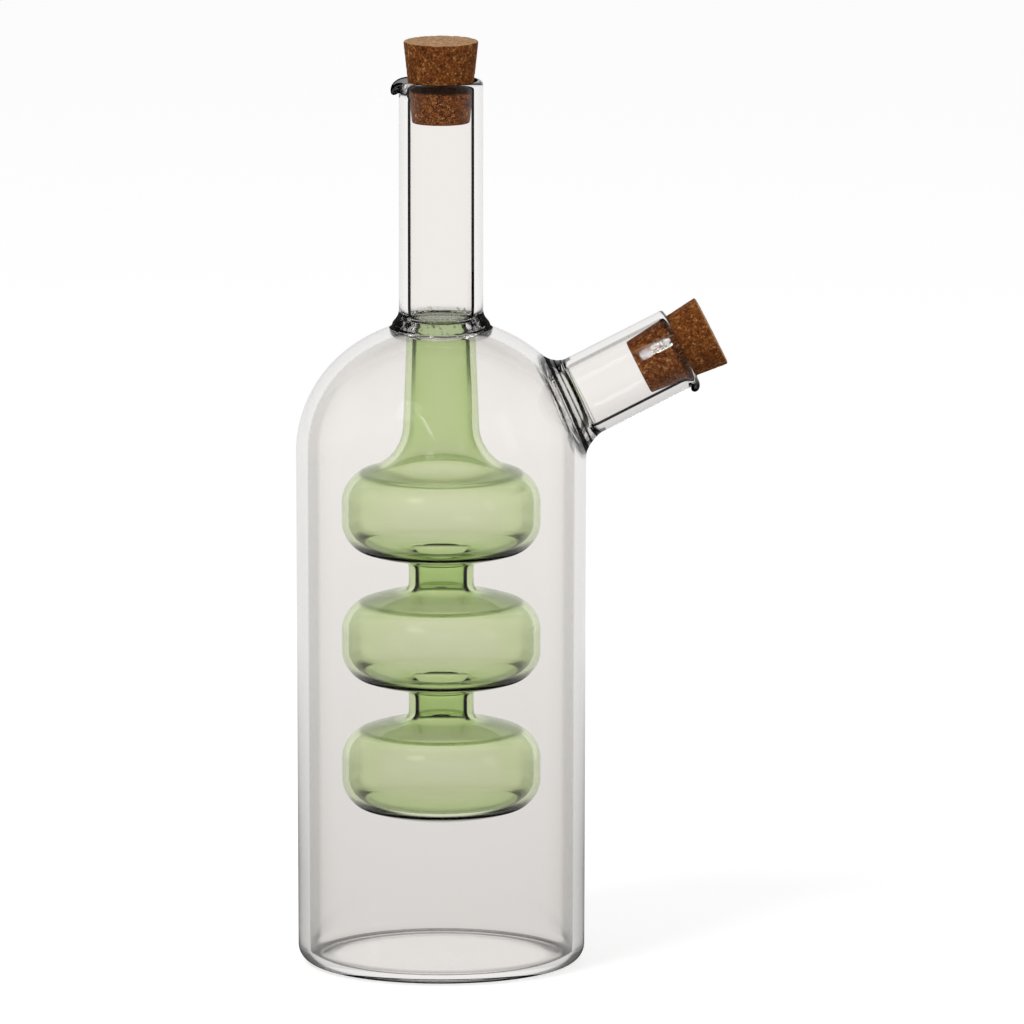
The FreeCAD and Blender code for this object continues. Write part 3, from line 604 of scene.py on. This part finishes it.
def from_dome(reach_start, reach_end, along_end, inset, pull, steps):
    """Rows of a fillet that leaves the dome along its slope and ends along the spout's axis."""
    start = dome_along(around, reach_start, inset)
    step = 0.2 if reach_end > reach_start else -0.2
    slope = dome_along(around, reach_start + step, inset) - start
    length = np.hypot(step, slope)
    first = (reach_start + pull * step / length, start + pull * slope / length)
    second = (reach_end, along_end - np.sign(along_end - start) * pull)
    return bend((reach_start, start), first, second, (reach_end, along_end), steps)


def spout_rows():
    """The rings of the spout, each a reach from its axis and a distance along it."""
    cap = (SPOUT_RADIUS - SPOUT_BORE) / 2
    lip_foot, rim = SPOUT_LENGTH - LIP_REACH, SPOUT_LENGTH - cap
    rows = [(reach, dome_along(around, reach, 0.0))
            for reach in (WINDOW_OUT, 16.0, 15.4, 14.8, FLARE_REACH)]
    rows += from_dome(FLARE_REACH, SPOUT_RADIUS, FLARE_TOP, 0.0, 1.9, 12)
    for low, high, steps in ((FLARE_TOP, 6.0, 9), (6.0, lip_foot, 12), (lip_foot, rim, 12)):
        rows += [(SPOUT_RADIUS, along) for along in np.linspace(low, high, steps)[1:]]
    rows += bow((SPOUT_BORE + cap, rim), cap, 0, 180, RIM_STEPS)[1:]
    for high, low, steps in ((rim, lip_foot, 12), (lip_foot, 3.0, 12), (3.0, FUNNEL_TOP, 8)):
        rows += [(SPOUT_BORE, along) for along in np.linspace(high, low, steps)[1:]]
    rows += from_dome(FUNNEL_REACH, SPOUT_BORE, FUNNEL_TOP, BODY_WALL, 1.2, 8)[-2::-1]
    rows += [(reach, dome_along(around, reach, BODY_WALL)) for reach in (FUNNEL_REACH, 11.5, WINDOW_IN)]
    return rows


rows = spout_rows()
spout_grid = np.array([on_spout(around, reach, along) for reach, along in rows])
print("spout grid", spout_grid.shape[:2])


# %% Unroll the dome and open its windows
# Metres of flat sheet for each radian round the axis, near the dome's radius. A face that lies within
# ON_SKIN of a side of the wall and SPOUT_SIDE of the spout's root, both in millimetres, may be taken out.
UNROLLED_REACH = 0.03
ON_SKIN, SPOUT_SIDE = 1.2, 20.0


def unrolled(point):
    """A point of the bottle's wall in flat coordinates: along the turn, and along the half section."""
    reach = math.hypot(point.x, point.y) / MM
    height = point.z / MM
    shoulder = math.atan2(height - SHOULDER_HEIGHT, reach - OVERHANG)
    crown = math.atan2(height - CROWN_CENTRE, reach)
    edge = math.radians(DOME_TURN)
    if height < SHOULDER_HEIGHT:
        along = height
    elif shoulder < edge:
        along = SHOULDER_HEIGHT + SHOULDER_ARC * shoulder
    else:
        along = SHOULDER_HEIGHT + SHOULDER_ARC * edge + CROWN_ARC * (crown - edge)
    return Vector((math.atan2(point.y, point.x) * UNROLLED_REACH, along * MM, 0.0))


def open_window(skin, reach, inset):
    """Take out the skin's faces near the spout's axis on one side of the wall."""
    gone = []
    for face in skin.faces:
        centre = np.array(face.calc_center_median()) / MM
        if centre[0] < 0 or abs(outside_distance(centre) + inset) > ON_SKIN:
            continue
        corners = [np.array(v.co) / MM - spout_root for v in face.verts]
        near = min(np.linalg.norm(c - spout_axis * c.dot(spout_axis)) for c in corners)
        if near < reach and abs((centre - spout_root).dot(spout_axis)) < SPOUT_SIDE:
            gone.append(face)
    bmesh.ops.delete(skin, geom=gone, context="FACES")
    print("opened a window of", len(gone), "faces")


# %% Set the spout into the dome
skin = skin_of(glass_skin)
row_layer = skin.verts.layers.float["row"]
WINDOW_GAP = 1.0
open_window(skin, WINDOW_OUT + WINDOW_GAP, 0.0)
open_window(skin, WINDOW_IN + WINDOW_GAP, BODY_WALL)
rims = [edge for edge in skin.edges if edge.is_boundary]
rings = [[skin.verts.new(point * MM) for point in ring] for ring in spout_grid]
# From the top of the rim the rings run down the bore. The rings of the flare keep their own number.
half_way = max(range(len(rows)), key=lambda k: np.max(rows[k][1]))
FLARE_RINGS, RIM_RINGS, RING_STEP = range(3, 19), 8, 0.01
for k, ring in enumerate(rings):
    mark = SPOUT_INSIDE if k > half_way + RIM_RINGS else (SPOUT_RIM if k > half_way else 0)
    mark = SPOUT_SEAL - RING_STEP * k if k in FLARE_RINGS else mark
    for vertex in ring:
        vertex[row_layer] = mark
for ring, following in zip(rings, rings[1:]):
    for k in range(SPOUT_STEPS):
        n = (k + 1) % SPOUT_STEPS
        skin.faces.new((ring[k], ring[n], following[n], following[k]))
for ring, inset in ((rings[0], 0.0), (rings[-1], BODY_WALL)):
    loop = [skin.edges.get((ring[k], ring[(k + 1) % SPOUT_STEPS])) for k in range(SPOUT_STEPS)]
    hole = [e for e in rims
            if abs(outside_distance(np.array(e.verts[0].co) / MM) + inset) < ON_SKIN]
    places = {vertex: vertex.co.copy() for edge in loop + hole for vertex in edge.verts}
    for vertex, place in places.items():
        vertex.co = unrolled(place)
    filled = bmesh.ops.triangle_fill(skin, use_beauty=True, edges=loop + hole, normal=Vector((0, 0, 1)))
    for vertex, place in places.items():
        vertex.co = place
    faces = [g for g in filled["geom"] if isinstance(g, bmesh.types.BMFace)]
    print("joined the spout by", len(faces), "faces")
bmesh.ops.recalc_face_normals(skin, faces=skin.faces)
for face in skin.faces:
    face.smooth = True
print("open edges:", sum(1 for e in skin.edges if not e.is_manifold))


# %% [markdown]
# ## Pouring lips
# A lip is pulled out of the soft rim with a tool, so the wall itself bends outwards and curls down. It
# could be sculpted, or made as a piece of its own, which would show a seam. Here the same bend is put
# into the mesh: near the mouth each point keeps its depth in the wall while the wall's middle line
# turns, most in the lip's direction and not at all behind it.

# %% Pull the lips
def pull_lip(skin, mouth, axis, towards, tube, bore, turn_degrees, curl, droop, spread, thinning, dip):
    """Bend the wall of a tube outwards at its mouth, in one direction round it.

    curl is the bend's radius at the wall's middle, droop the straight length after it, spread the
    lip's half width in radians, thinning the share of the wall that pulling takes and dip how far
    the curl's top lies under the rim. The wall below is eased in over 6 mm, and the lip's mark is
    full 1.5 mm into the bend.
    """
    eased, rolled = 6.0, 1.5
    axis, towards, mouth = Vector(axis), Vector(towards), Vector(mouth)
    sideways = axis.cross(towards)
    middle, cap = (tube + bore) / 2, (tube - bore) / 2
    full = math.radians(turn_degrees)
    start = -(curl * full + droop + cap)
    lift = -start - curl - cap * (1 - thinning) - dip
    lip_layer = skin.verts.layers.float.get("lip") or skin.verts.layers.float.new("lip")
    moved = 0
    for vertex in skin.verts:
        offset = vertex.co / MM - mouth
        height = offset.dot(axis)
        flat = offset - axis * height
        reach = flat.length
        if height < start - eased or height > 1.0 or reach > tube + 0.5 or reach < bore - 0.5:
            continue
        swing = math.atan2(flat.dot(sideways), flat.dot(towards))
        weight = math.exp(-(swing / spread) ** 2)
        along = height - start
        rise = lift * weight
        if along <= 0:
            height += rise * ((along + eased) / eased) ** 2
        elif weight > 1e-3:
            depth = (reach - middle) * (1 - thinning * weight)
            turned = full * weight
            limit = curl * full
            bent = turned * min(along, limit) / limit
            radius = limit / turned
            extra = max(0.0, along - limit)
            out = radius * (1 - math.cos(bent)) + extra * math.sin(bent) + depth * math.cos(bent)
            up = radius * math.sin(bent) + extra * math.cos(bent) - depth * math.sin(bent)
            reach = middle + out
            height = start + rise + up
            vertex[lip_layer] = weight * min(1.0, along / rolled)
        vertex.co = (mouth + axis * height + flat.normalized() * reach) * MM
        moved += 1
    print("pulled a lip over", moved, "points")


pull_lip(skin, (0, 0, NECK_MOUTH), (0, 0, 1), (-1, 0, 0), NECK_RADIUS, NECK_BORE,
         turn_degrees=130, curl=1.0, droop=0.7, spread=0.45, thinning=0.25, dip=1.2)
spout_mouth = spout_root + SPOUT_LENGTH * spout_axis
pull_lip(skin, spout_mouth, spout_axis, spout_down, SPOUT_RADIUS, SPOUT_BORE,
         turn_degrees=130, curl=0.8, droop=0.5, spread=0.40, thinning=0.25, dip=0.7)


# %% [markdown]
# ## Where the glass draws its lines
# In a photograph the black lines lie along the bores, round the rims, under the bulbs and in the folds
# of the seals, and the rest of the wall stays clear. Each point therefore gets three values between 0
# and 1, which the glass materials read as painted shade: how strongly its dark lines show, how much
# darker what is seen through it is, and how black its folds are. They could be painted by hand as vertex
# colours, but rules on the point's row, height and direction follow the shape when a size changes. The
# short stretch where green and clear glass meet gets the weld's finish on both skins.

# %% Write the marks and the weld
SAME_HEIGHT = 1e-5


def finish_glass(piece, skin, marks):
    """Write the attributes that the glass reads, set the weld's slot and hand the mesh back."""
    skin.normal_update()
    row_layer = skin.verts.layers.float["row"]
    lip_layer = skin.verts.layers.float.get("lip") or skin.verts.layers.float.new("lip")
    inside, thickness_and_shade, fold_shade = (skin.verts.layers.float.new(name) for name in ("inside", "thickness_and_shade", "fold_shade"))
    for vertex in skin.verts:
        offset = np.array(vertex.co) / MM - spout_root
        along = offset.dot(spout_axis)
        in_spout = along > 0 and np.linalg.norm(offset - along * spout_axis) < SPOUT_RADIUS
        axis = Vector(spout_axis) if in_spout else Vector((0, 0, 1))
        upright = 1 - abs(vertex.normal.dot(axis))
        values = marks(vertex[row_layer], upright, vertex.co / MM, vertex.normal, vertex[lip_layer])
        vertex[inside], vertex[thickness_and_shade], vertex[fold_shade] = values
    skin.to_mesh(piece.data)
    skin.free()
    set_finishes(piece.data, piece.data.materials[0], weld)
    low, high = WELD_FOOT[1] * MM, WELD_TOP[1] * MM
    welded = 0
    for polygon in piece.data.polygons:
        heights = [piece.data.vertices[i].co.z for i in polygon.vertices]
        if abs(min(heights) - low) < SAME_HEIGHT and abs(max(heights) - high) < SAME_HEIGHT:
            polygon.material_index = 1
            welded += 1
    print(piece.name, "has", len(piece.data.polygons), "faces,", welded, "of them in the weld")


# %% Marks of the clear glass
# Rings of the spout's flare that are folded where the tube was sealed on, and how black each is painted,
# as painted shade. The neck's collar is folded all over and painted dark too. The other values are
# heights
# and reaches in millimetres: of the collar, of the bore, and of the corner of the bottom inside and
# outside.
DARK_RINGS = {5: 0.6, 6: 0.97, 7: 0.97, 8: 0.5, 10: 0.95, 13: 0.8}
COLLAR_LOW, COLLAR_HIGH, COLLAR_DARK, COLLAR_REACH = 167.3, 172.6, 171.5, 13.5
BORE_LOW, ABOVE_WELD, FUNNEL_HIGH, BORE_REACH = 160.0, 168.0, 170.9, 14.0
CORNER_HIGH, CORNER_REACH, FOOT_HIGH, FOOT_REACH = 6.0, 31.0, 4.0, 32.0


def clear_marks(row, upright, place, normal, lip):
    """How strongly a point shows painted dark lines, how much painted shade darkens what is seen through
    it and how black its folds are painted, all from 0 to 1.
    """
    reach = math.hypot(place.x, place.y)
    on_rim = mouth_row <= row <= mouth_row + RIM_RINGS
    # Painted shade: the pulled lips are painted dark.
    if lip > 0.3 and not on_rim:
        return 1.0, 0.6 * lip, 0.6 * lip
    if SPOUT_SEAL - 0.5 < row <= SPOUT_SEAL:
        ring = round((SPOUT_SEAL - row) / RING_STEP)
        dark = DARK_RINGS.get(ring, 0.0)
        return 0.5, 0.9 * dark, dark
    # Painted shade: the spout's rim is painted dark.
    if row == SPOUT_RIM:
        return 1.0, 0.6, 0.0
    if row == SPOUT_INSIDE:
        # Painted shade: the lower side of the spout's bore shows darker lines than its upper side.
        along = (np.array(place) - spout_root).dot(spout_axis)
        low = 0.5 + 0.5 * -Vector(spout_down).dot(normal)
        return upright * (0.15 + 0.85 * low if along > 0.5 else 0.1), 0.0, 0.0
    # Painted shade: the rows just inside the neck's mouth are painted near black.
    if on_rim:
        return 1.0, max(0.92, lip), 0.0
    if row > mouth_row:
        if reach < BORE_REACH and place.z > BORE_LOW:
            above_weld = place.z > ABOVE_WELD
            in_funnel = above_weld and place.z < FUNNEL_HIGH
            return (1.0 if above_weld else 0.15), (0.4 if in_funnel else 0.0), 0.0
        corner = place.z < CORNER_HIGH and reach > CORNER_REACH
        return (0.5 if corner else 0.14 * upright), 0.0, 0.0
    if COLLAR_LOW < place.z < COLLAR_HIGH and reach < COLLAR_REACH:
        return 0.5, (0.3 if place.z < COLLAR_DARK else 0.0), 0.68
    foot = place.z < FOOT_HIGH and reach > FOOT_REACH
    return (0.5 if foot else 0.0), 0.0, 0.0


finish_glass(glass_skin, skin, clear_marks)

# %% [markdown]
# ## Green vessel
# Three bulbs blown from one tube, each a flat crown, a rounded side and a short belt, with narrow necks
# between them. They could be three flattened spheres with a tube through them, but the real wall runs
# on in one piece, so its outline is drawn as arcs that meet without a corner. The inside of the wall
# is the same outline drawn in by its thickness, so one function gives both.

# %% Section of the green vessel
VESSEL_RADIUS, VESSEL_CORNER, VESSEL_BELT, VESSEL_HALF = 26.0, 8.5, 5.0, 13.7
VESSEL_PITCH, VESSEL_LOWEST, VESSEL_COUNT, VESSEL_WALL = 34.0, 51.5, 3, 1.75
LINK_RADIUS, LINK_FILLET = 8.5, 2.2
THROAT_FILLET, THROAT_RADIUS = 12.5, 9.9


def vessel_section(inset):
    """The vessel's half section from its lowest point up to the weld, drawn in by an inset."""
    inward = VESSEL_RADIUS - VESSEL_CORNER
    headroom = VESSEL_HALF - VESSEL_BELT / 2
    crown = (inward ** 2 + headroom ** 2 - VESSEL_CORNER ** 2) / (2 * (headroom - VESSEL_CORNER))
    over = math.degrees(math.asin(inward / (crown - VESSEL_CORNER)))
    crown_now, corner_now = crown - inset, VESSEL_CORNER - inset
    link = (LINK_RADIUS - inset, LINK_FILLET + inset)
    throat = (THROAT_RADIUS - inset, THROAT_FILLET + inset)

    def fillet(neck, rounding):
        """A fillet's reach from the axis, its distance from the crown's centre along it, its lean."""
        reach, far = neck + rounding, crown_now + rounding
        return reach, math.sqrt(far ** 2 - reach ** 2), math.degrees(math.asin(reach / far))

    points = []
    for number in range(VESSEL_COUNT):
        middle = VESSEL_LOWEST + number * VESSEL_PITCH
        lower = (0, middle - VESSEL_HALF + crown)
        upper = (0, middle + VESSEL_HALF - crown)
        if number == 0:
            points += bow(lower, crown_now, -90, -90 + over, 12)
        else:
            reach, depth, lean = fillet(*link)
            points += bow((reach, lower[1] - depth), link[1], 180, 90 + lean, 10)
            points += bow(lower, crown_now, -90 + lean, -90 + over, 6)[1:]
        points += bow((inward, middle - VESSEL_BELT / 2), corner_now, -90 + over, 0, 16)[1:]
        points += run(points[-1], (VESSEL_RADIUS - inset, middle + VESSEL_BELT / 2), 4)
        points += bow((inward, middle + VESSEL_BELT / 2), corner_now, 0, 90 - over, 16)[1:]
        neck = link if number < VESSEL_COUNT - 1 else throat
        reach, depth, lean = fillet(*neck)
        points += bow(upper, crown_now, 90 - over, 90 - lean, 4)[1:]
        points += bow((reach, upper[1] + depth), neck[1], 270 - lean, 180, 14)[1:]
    end = WELD_TOP if inset else WELD_FOOT
    points += run(points[-1], (end[0] + 0.06, end[1] - 3.0), 14)
    points += run(points[-1], end, 3)
    return points


# %% Turn the green vessel
inner = vessel_section(VESSEL_WALL)
outer = vessel_section(0.0)
vessel = turn_section("green_vessel", inner + outer[::-1], 176, green_glass)
skin = skin_of(vessel)
print("open edges:", sum(1 for e in skin.edges if not e.is_manifold))


# %% Marks of the green glass
# Reaches from the axis in millimetres. The other values are slopes: a normal's height is 0 on an
# upright side and 1 on a level face.
NARROW_REACH, BORE_LINE_REACH = 13.0, 8.0


def ramp_up(value, start, width, most=1.0):
    """From 0 at the start, rising by 1 over a width, and never over the most."""
    return min(most, max(0.0, (value - start) / width))


def green_marks(row, upright, place, normal, lip):
    """The bulbs' undersides and the narrow necks show the darkest painted lines, as painted shade, the
    necks are greener for their thicker glass, and the level crowns get a deeper green too.
    """
    across = math.hypot(place.x, place.y)
    above_lowest = place.z > VESSEL_LOWEST + 6.0
    throat = place.z > VESSEL_LOWEST + VESSEL_PITCH * (VESSEL_COUNT - 1)
    narrow = ramp_up(-across, -NARROW_REACH, 3.0) if above_lowest else 0.0
    thickness_and_shade = narrow * (0.42 if throat else 0.8)
    # Painted shade: the inner faces get dark lines along the necks' bores, on the bulbs' floors and
    # faintly on upright walls.
    if row < len(inner) - 0.5:
        bore = ramp_up(-across, -BORE_LINE_REACH, 0.6) if above_lowest else 0.0
        below = ramp_up(normal.z, 0.1, 0.5, 0.3) if normal.z < 0.84 else 0.0
        return max(below, (0.65 if throat else 1.0) * bore, 0.12 * upright), thickness_and_shade, 0.0
    # Painted shade: outer faces that look down, under the bulbs, get the darkest lines, and those that
    # look up fainter ones.
    below = ramp_up(-normal.z, 0.55, 0.25) if normal.z > -0.92 else 0.1
    above = ramp_up(normal.z, 0.86, 0.1, 0.36)
    crown = ramp_up(normal.z, 0.8, 0.15, 0.8)
    return max(below, above) * (1 - narrow), max(thickness_and_shade, crown), 0.0


finish_glass(vessel, skin, green_marks)

# %% [markdown]
# ## Corks
# The stoppers are pressed from cork granules with a binder and sanded to a taper. The granules are under
# a millimetre, from tan to dark brown, with dark seams between them, and the surface is chipped where
# some have broken out. A picture of cork could be wrapped round it, but cells in space run through the
# edge without a seam, so Voronoi cells bent by noise make the granules, and real dents in the mesh the
# chips. The outer end faces are painted paler than the sides, as painted light where they face the lamps.

# %% Cork material
# Warm brown and dull, speckled with tan, and painted paler on the outer end as painted light. The sizes
# of a granule, a speck, a bend in the seams and a lighter or darker patch are in millimetres.
GRANULE, SPECK, WANDER_SIZE, PATCH = 0.7, 0.53, 1.1, 3.8
# The share of noise that is mixed into the place of a cell.
WANDER = 0.0014
cork_finish, output = new_material("agglomerated_cork")
tree = cork_finish.node_tree
coordinates = add(tree, "ShaderNodeTexCoord").outputs["Object"]
wander = add(tree, "ShaderNodeTexNoise", {
    "Vector": coordinates, "Scale": 1 / (WANDER_SIZE * MM), "Detail": 4.0})
bent = add(tree, "ShaderNodeMix", {
    "Factor": WANDER, 4: coordinates, 5: wander.outputs["Color"]}, data_type="VECTOR")
granules, seams = (add(tree, "ShaderNodeTexVoronoi", {
    "Vector": bent.outputs[1], "Scale": 1 / (GRANULE * MM)}, feature=feature)
    for feature in ("F1", "DISTANCE_TO_EDGE"))
tone = add(tree, "ShaderNodeSeparateColor", {0: granules.outputs["Color"]})
speck = add(tree, "ShaderNodeTexNoise", {
    "Vector": coordinates, "Scale": 1 / (SPECK * MM), "Detail": 5.0, "Roughness": 0.65})
patch = add(tree, "ShaderNodeTexNoise", {
    "Vector": coordinates, "Scale": 1 / (PATCH * MM), "Detail": 2.0})
mottle = add(tree, "ShaderNodeMath", {0: tone, 1: 0.24}, operation="MULTIPLY")
mottle = add(tree, "ShaderNodeMath", {0: speck.outputs["Fac"], 1: mottle}, operation="ADD")
drift = add(tree, "ShaderNodeMapRange", {
    "Value": patch.outputs["Fac"], "From Min": 0.3, "From Max": 0.7, "To Min": -0.05, "To Max": 0.05})
mottle = add(tree, "ShaderNodeMath", {0: mottle, 1: drift}, operation="ADD")
sides = set_stops(add(tree, "ShaderNodeValToRGB", {"Fac": mottle}), (
    (0.40, "462412"), (0.52, "683816"), (0.64, "82481C"), (0.74, "985C2A"), (0.86, "C89460")))
# Painted light: the outer end face is given this paler ramp.
ends = set_stops(add(tree, "ShaderNodeValToRGB", {"Fac": mottle}), ((0.40, "A0744A"), (0.80, "E0B68C")))
end_face = add(tree, "ShaderNodeAttribute", attribute_name="lit_end")
grain = add(tree, "ShaderNodeMix", {0: end_face.outputs["Fac"], 6: sides, 7: ends}, data_type="RGBA")
gap = add(tree, "ShaderNodeMapRange", {
    "Value": seams.outputs["Distance"], "From Min": 0.0, "From Max": 0.10,
    "To Min": 0.66, "To Max": 1.0})
toned = add(tree, "ShaderNodeVectorMath", {0: grain.outputs[2], 1: gap}, operation="MULTIPLY")
relief = add(tree, "ShaderNodeMath", {0: gap, 1: speck.outputs["Fac"]}, operation="ADD")
bump = add(tree, "ShaderNodeBump", {"Height": relief, "Strength": 0.7, "Distance": 0.0002})
surface = add(tree, "ShaderNodeBsdfPrincipled", {
    "Base Color": toned, "Roughness": 0.8, "Specular IOR Level": 0.12, "Normal": bump})
tree.links.new(surface.outputs[0], output.inputs["Surface"])

# %% Cork shapes
CORK_LENGTH, CORK_SPREAD, CORK_EDGE, CORK_CLEARANCE = 21.3, 4.4, 0.5, 0.06
RIM_ROUND = 1.0


def cork_section(bore, depth):
    """A cork in the frame of its mouth: the foot's radius follows from the bore that it is tight in."""
    slope = CORK_SPREAD / 2 / CORK_LENGTH
    foot = bore - CORK_CLEARANCE - (depth - RIM_ROUND) * slope
    head = foot + CORK_SPREAD / 2
    low, high = -depth, CORK_LENGTH - depth
    points = [(0.0, low)] + run((0.0, low), (foot - CORK_EDGE, low), 12)
    points += bow((foot - CORK_EDGE, low + CORK_EDGE), CORK_EDGE, -90, -4, 5)[1:]
    points += run(points[-1], (head, high - CORK_EDGE), 46)
    points += bow((head - CORK_EDGE, high - CORK_EDGE), CORK_EDGE, 0, 90, 5)[1:]
    points += run(points[-1], (0.0, high), 14)
    return points


# How deep the chips are in millimetres, and how many of them lie along one.
RUBBED, CHIPPED, WORN_TOP = 0.05, 0.22, 0.25
CHIPS_PER_MM, WEAR_PER_MM = 0.55, 0.8


def make_cork(name, bore, depth, mouth, axis, seed):
    """A cork in its mouth, chipped outside and rubbed smoother where it is pressed into its bore."""
    piece = turn_section(name, cork_section(bore, depth), 128, cork_finish)
    turn_to = Vector((0, 0, 1)).rotation_difference(Vector(axis)).to_matrix().to_4x4()
    lump = Vector((seed, 0, 0))
    for vertex in piece.data.vertices:
        place = vertex.co / MM
        radial = Vector((place.x, place.y, 0))
        chip = noise.fractal(place * CHIPS_PER_MM + lump, 0.8, 2.0, 4)
        inside = place.z < 0.5
        push = -abs(chip) * (RUBBED if inside else CHIPPED)
        if radial.length > 1e-6:
            place += radial.normalized() * push
        if place.z > CORK_LENGTH - depth - 0.1:
            worn = noise.fractal(place * WEAR_PER_MM + lump, 0.8, 2.0, 3)
            place.z -= abs(worn) * WORN_TOP
        vertex.co = place * MM
    piece.data.transform(Matrix.Translation(Vector(mouth) * MM) @ turn_to)
    skin = skin_of(piece)
    # Marks the outer end face, which the cork's material paints paler as painted light.
    lit_end = skin.verts.layers.float.new("lit_end")
    for vertex in skin.verts:
        vertex[lit_end] = 1.0 if vertex.normal.dot(Vector(axis)) > 0.8 else 0.0
    skin.to_mesh(piece.data)
    skin.free()
    return piece


top_cork = make_cork("top_cork", NECK_BORE, 10.9, (0, 0, NECK_MOUTH), (0, 0, 1), 3.0)
side_cork = make_cork("side_cork", SPOUT_BORE, 12.4, spout_mouth, spout_axis, 11.0)

# %% [markdown]
# ## Onto the frame
# The fused glass is one rigid body, and each cork slides on its own. Each piece rides on its body and
# stands for the CAD nodes that it covers, so a cork leaves its mouth when its joint moves. A parent for
# each joint could do the same, but the frame already moves its bodies.

# %% Tie the pieces to the frame
for piece, body, nodes, slot in (
    (glass_skin, "glass", ("outer_bottle", "side_spout", "neck_tube"), "clear_glass"),
    (vessel, "glass", ("inner_vessel",), "green_glass"),
    (top_cork, "top_cork", ("top_stopper",), "cork"),
    (side_cork, "side_cork", ("side_stopper",), "cork"),
):
    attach(piece, body)
    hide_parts(*nodes)
    print(piece.name, "rides on", body)
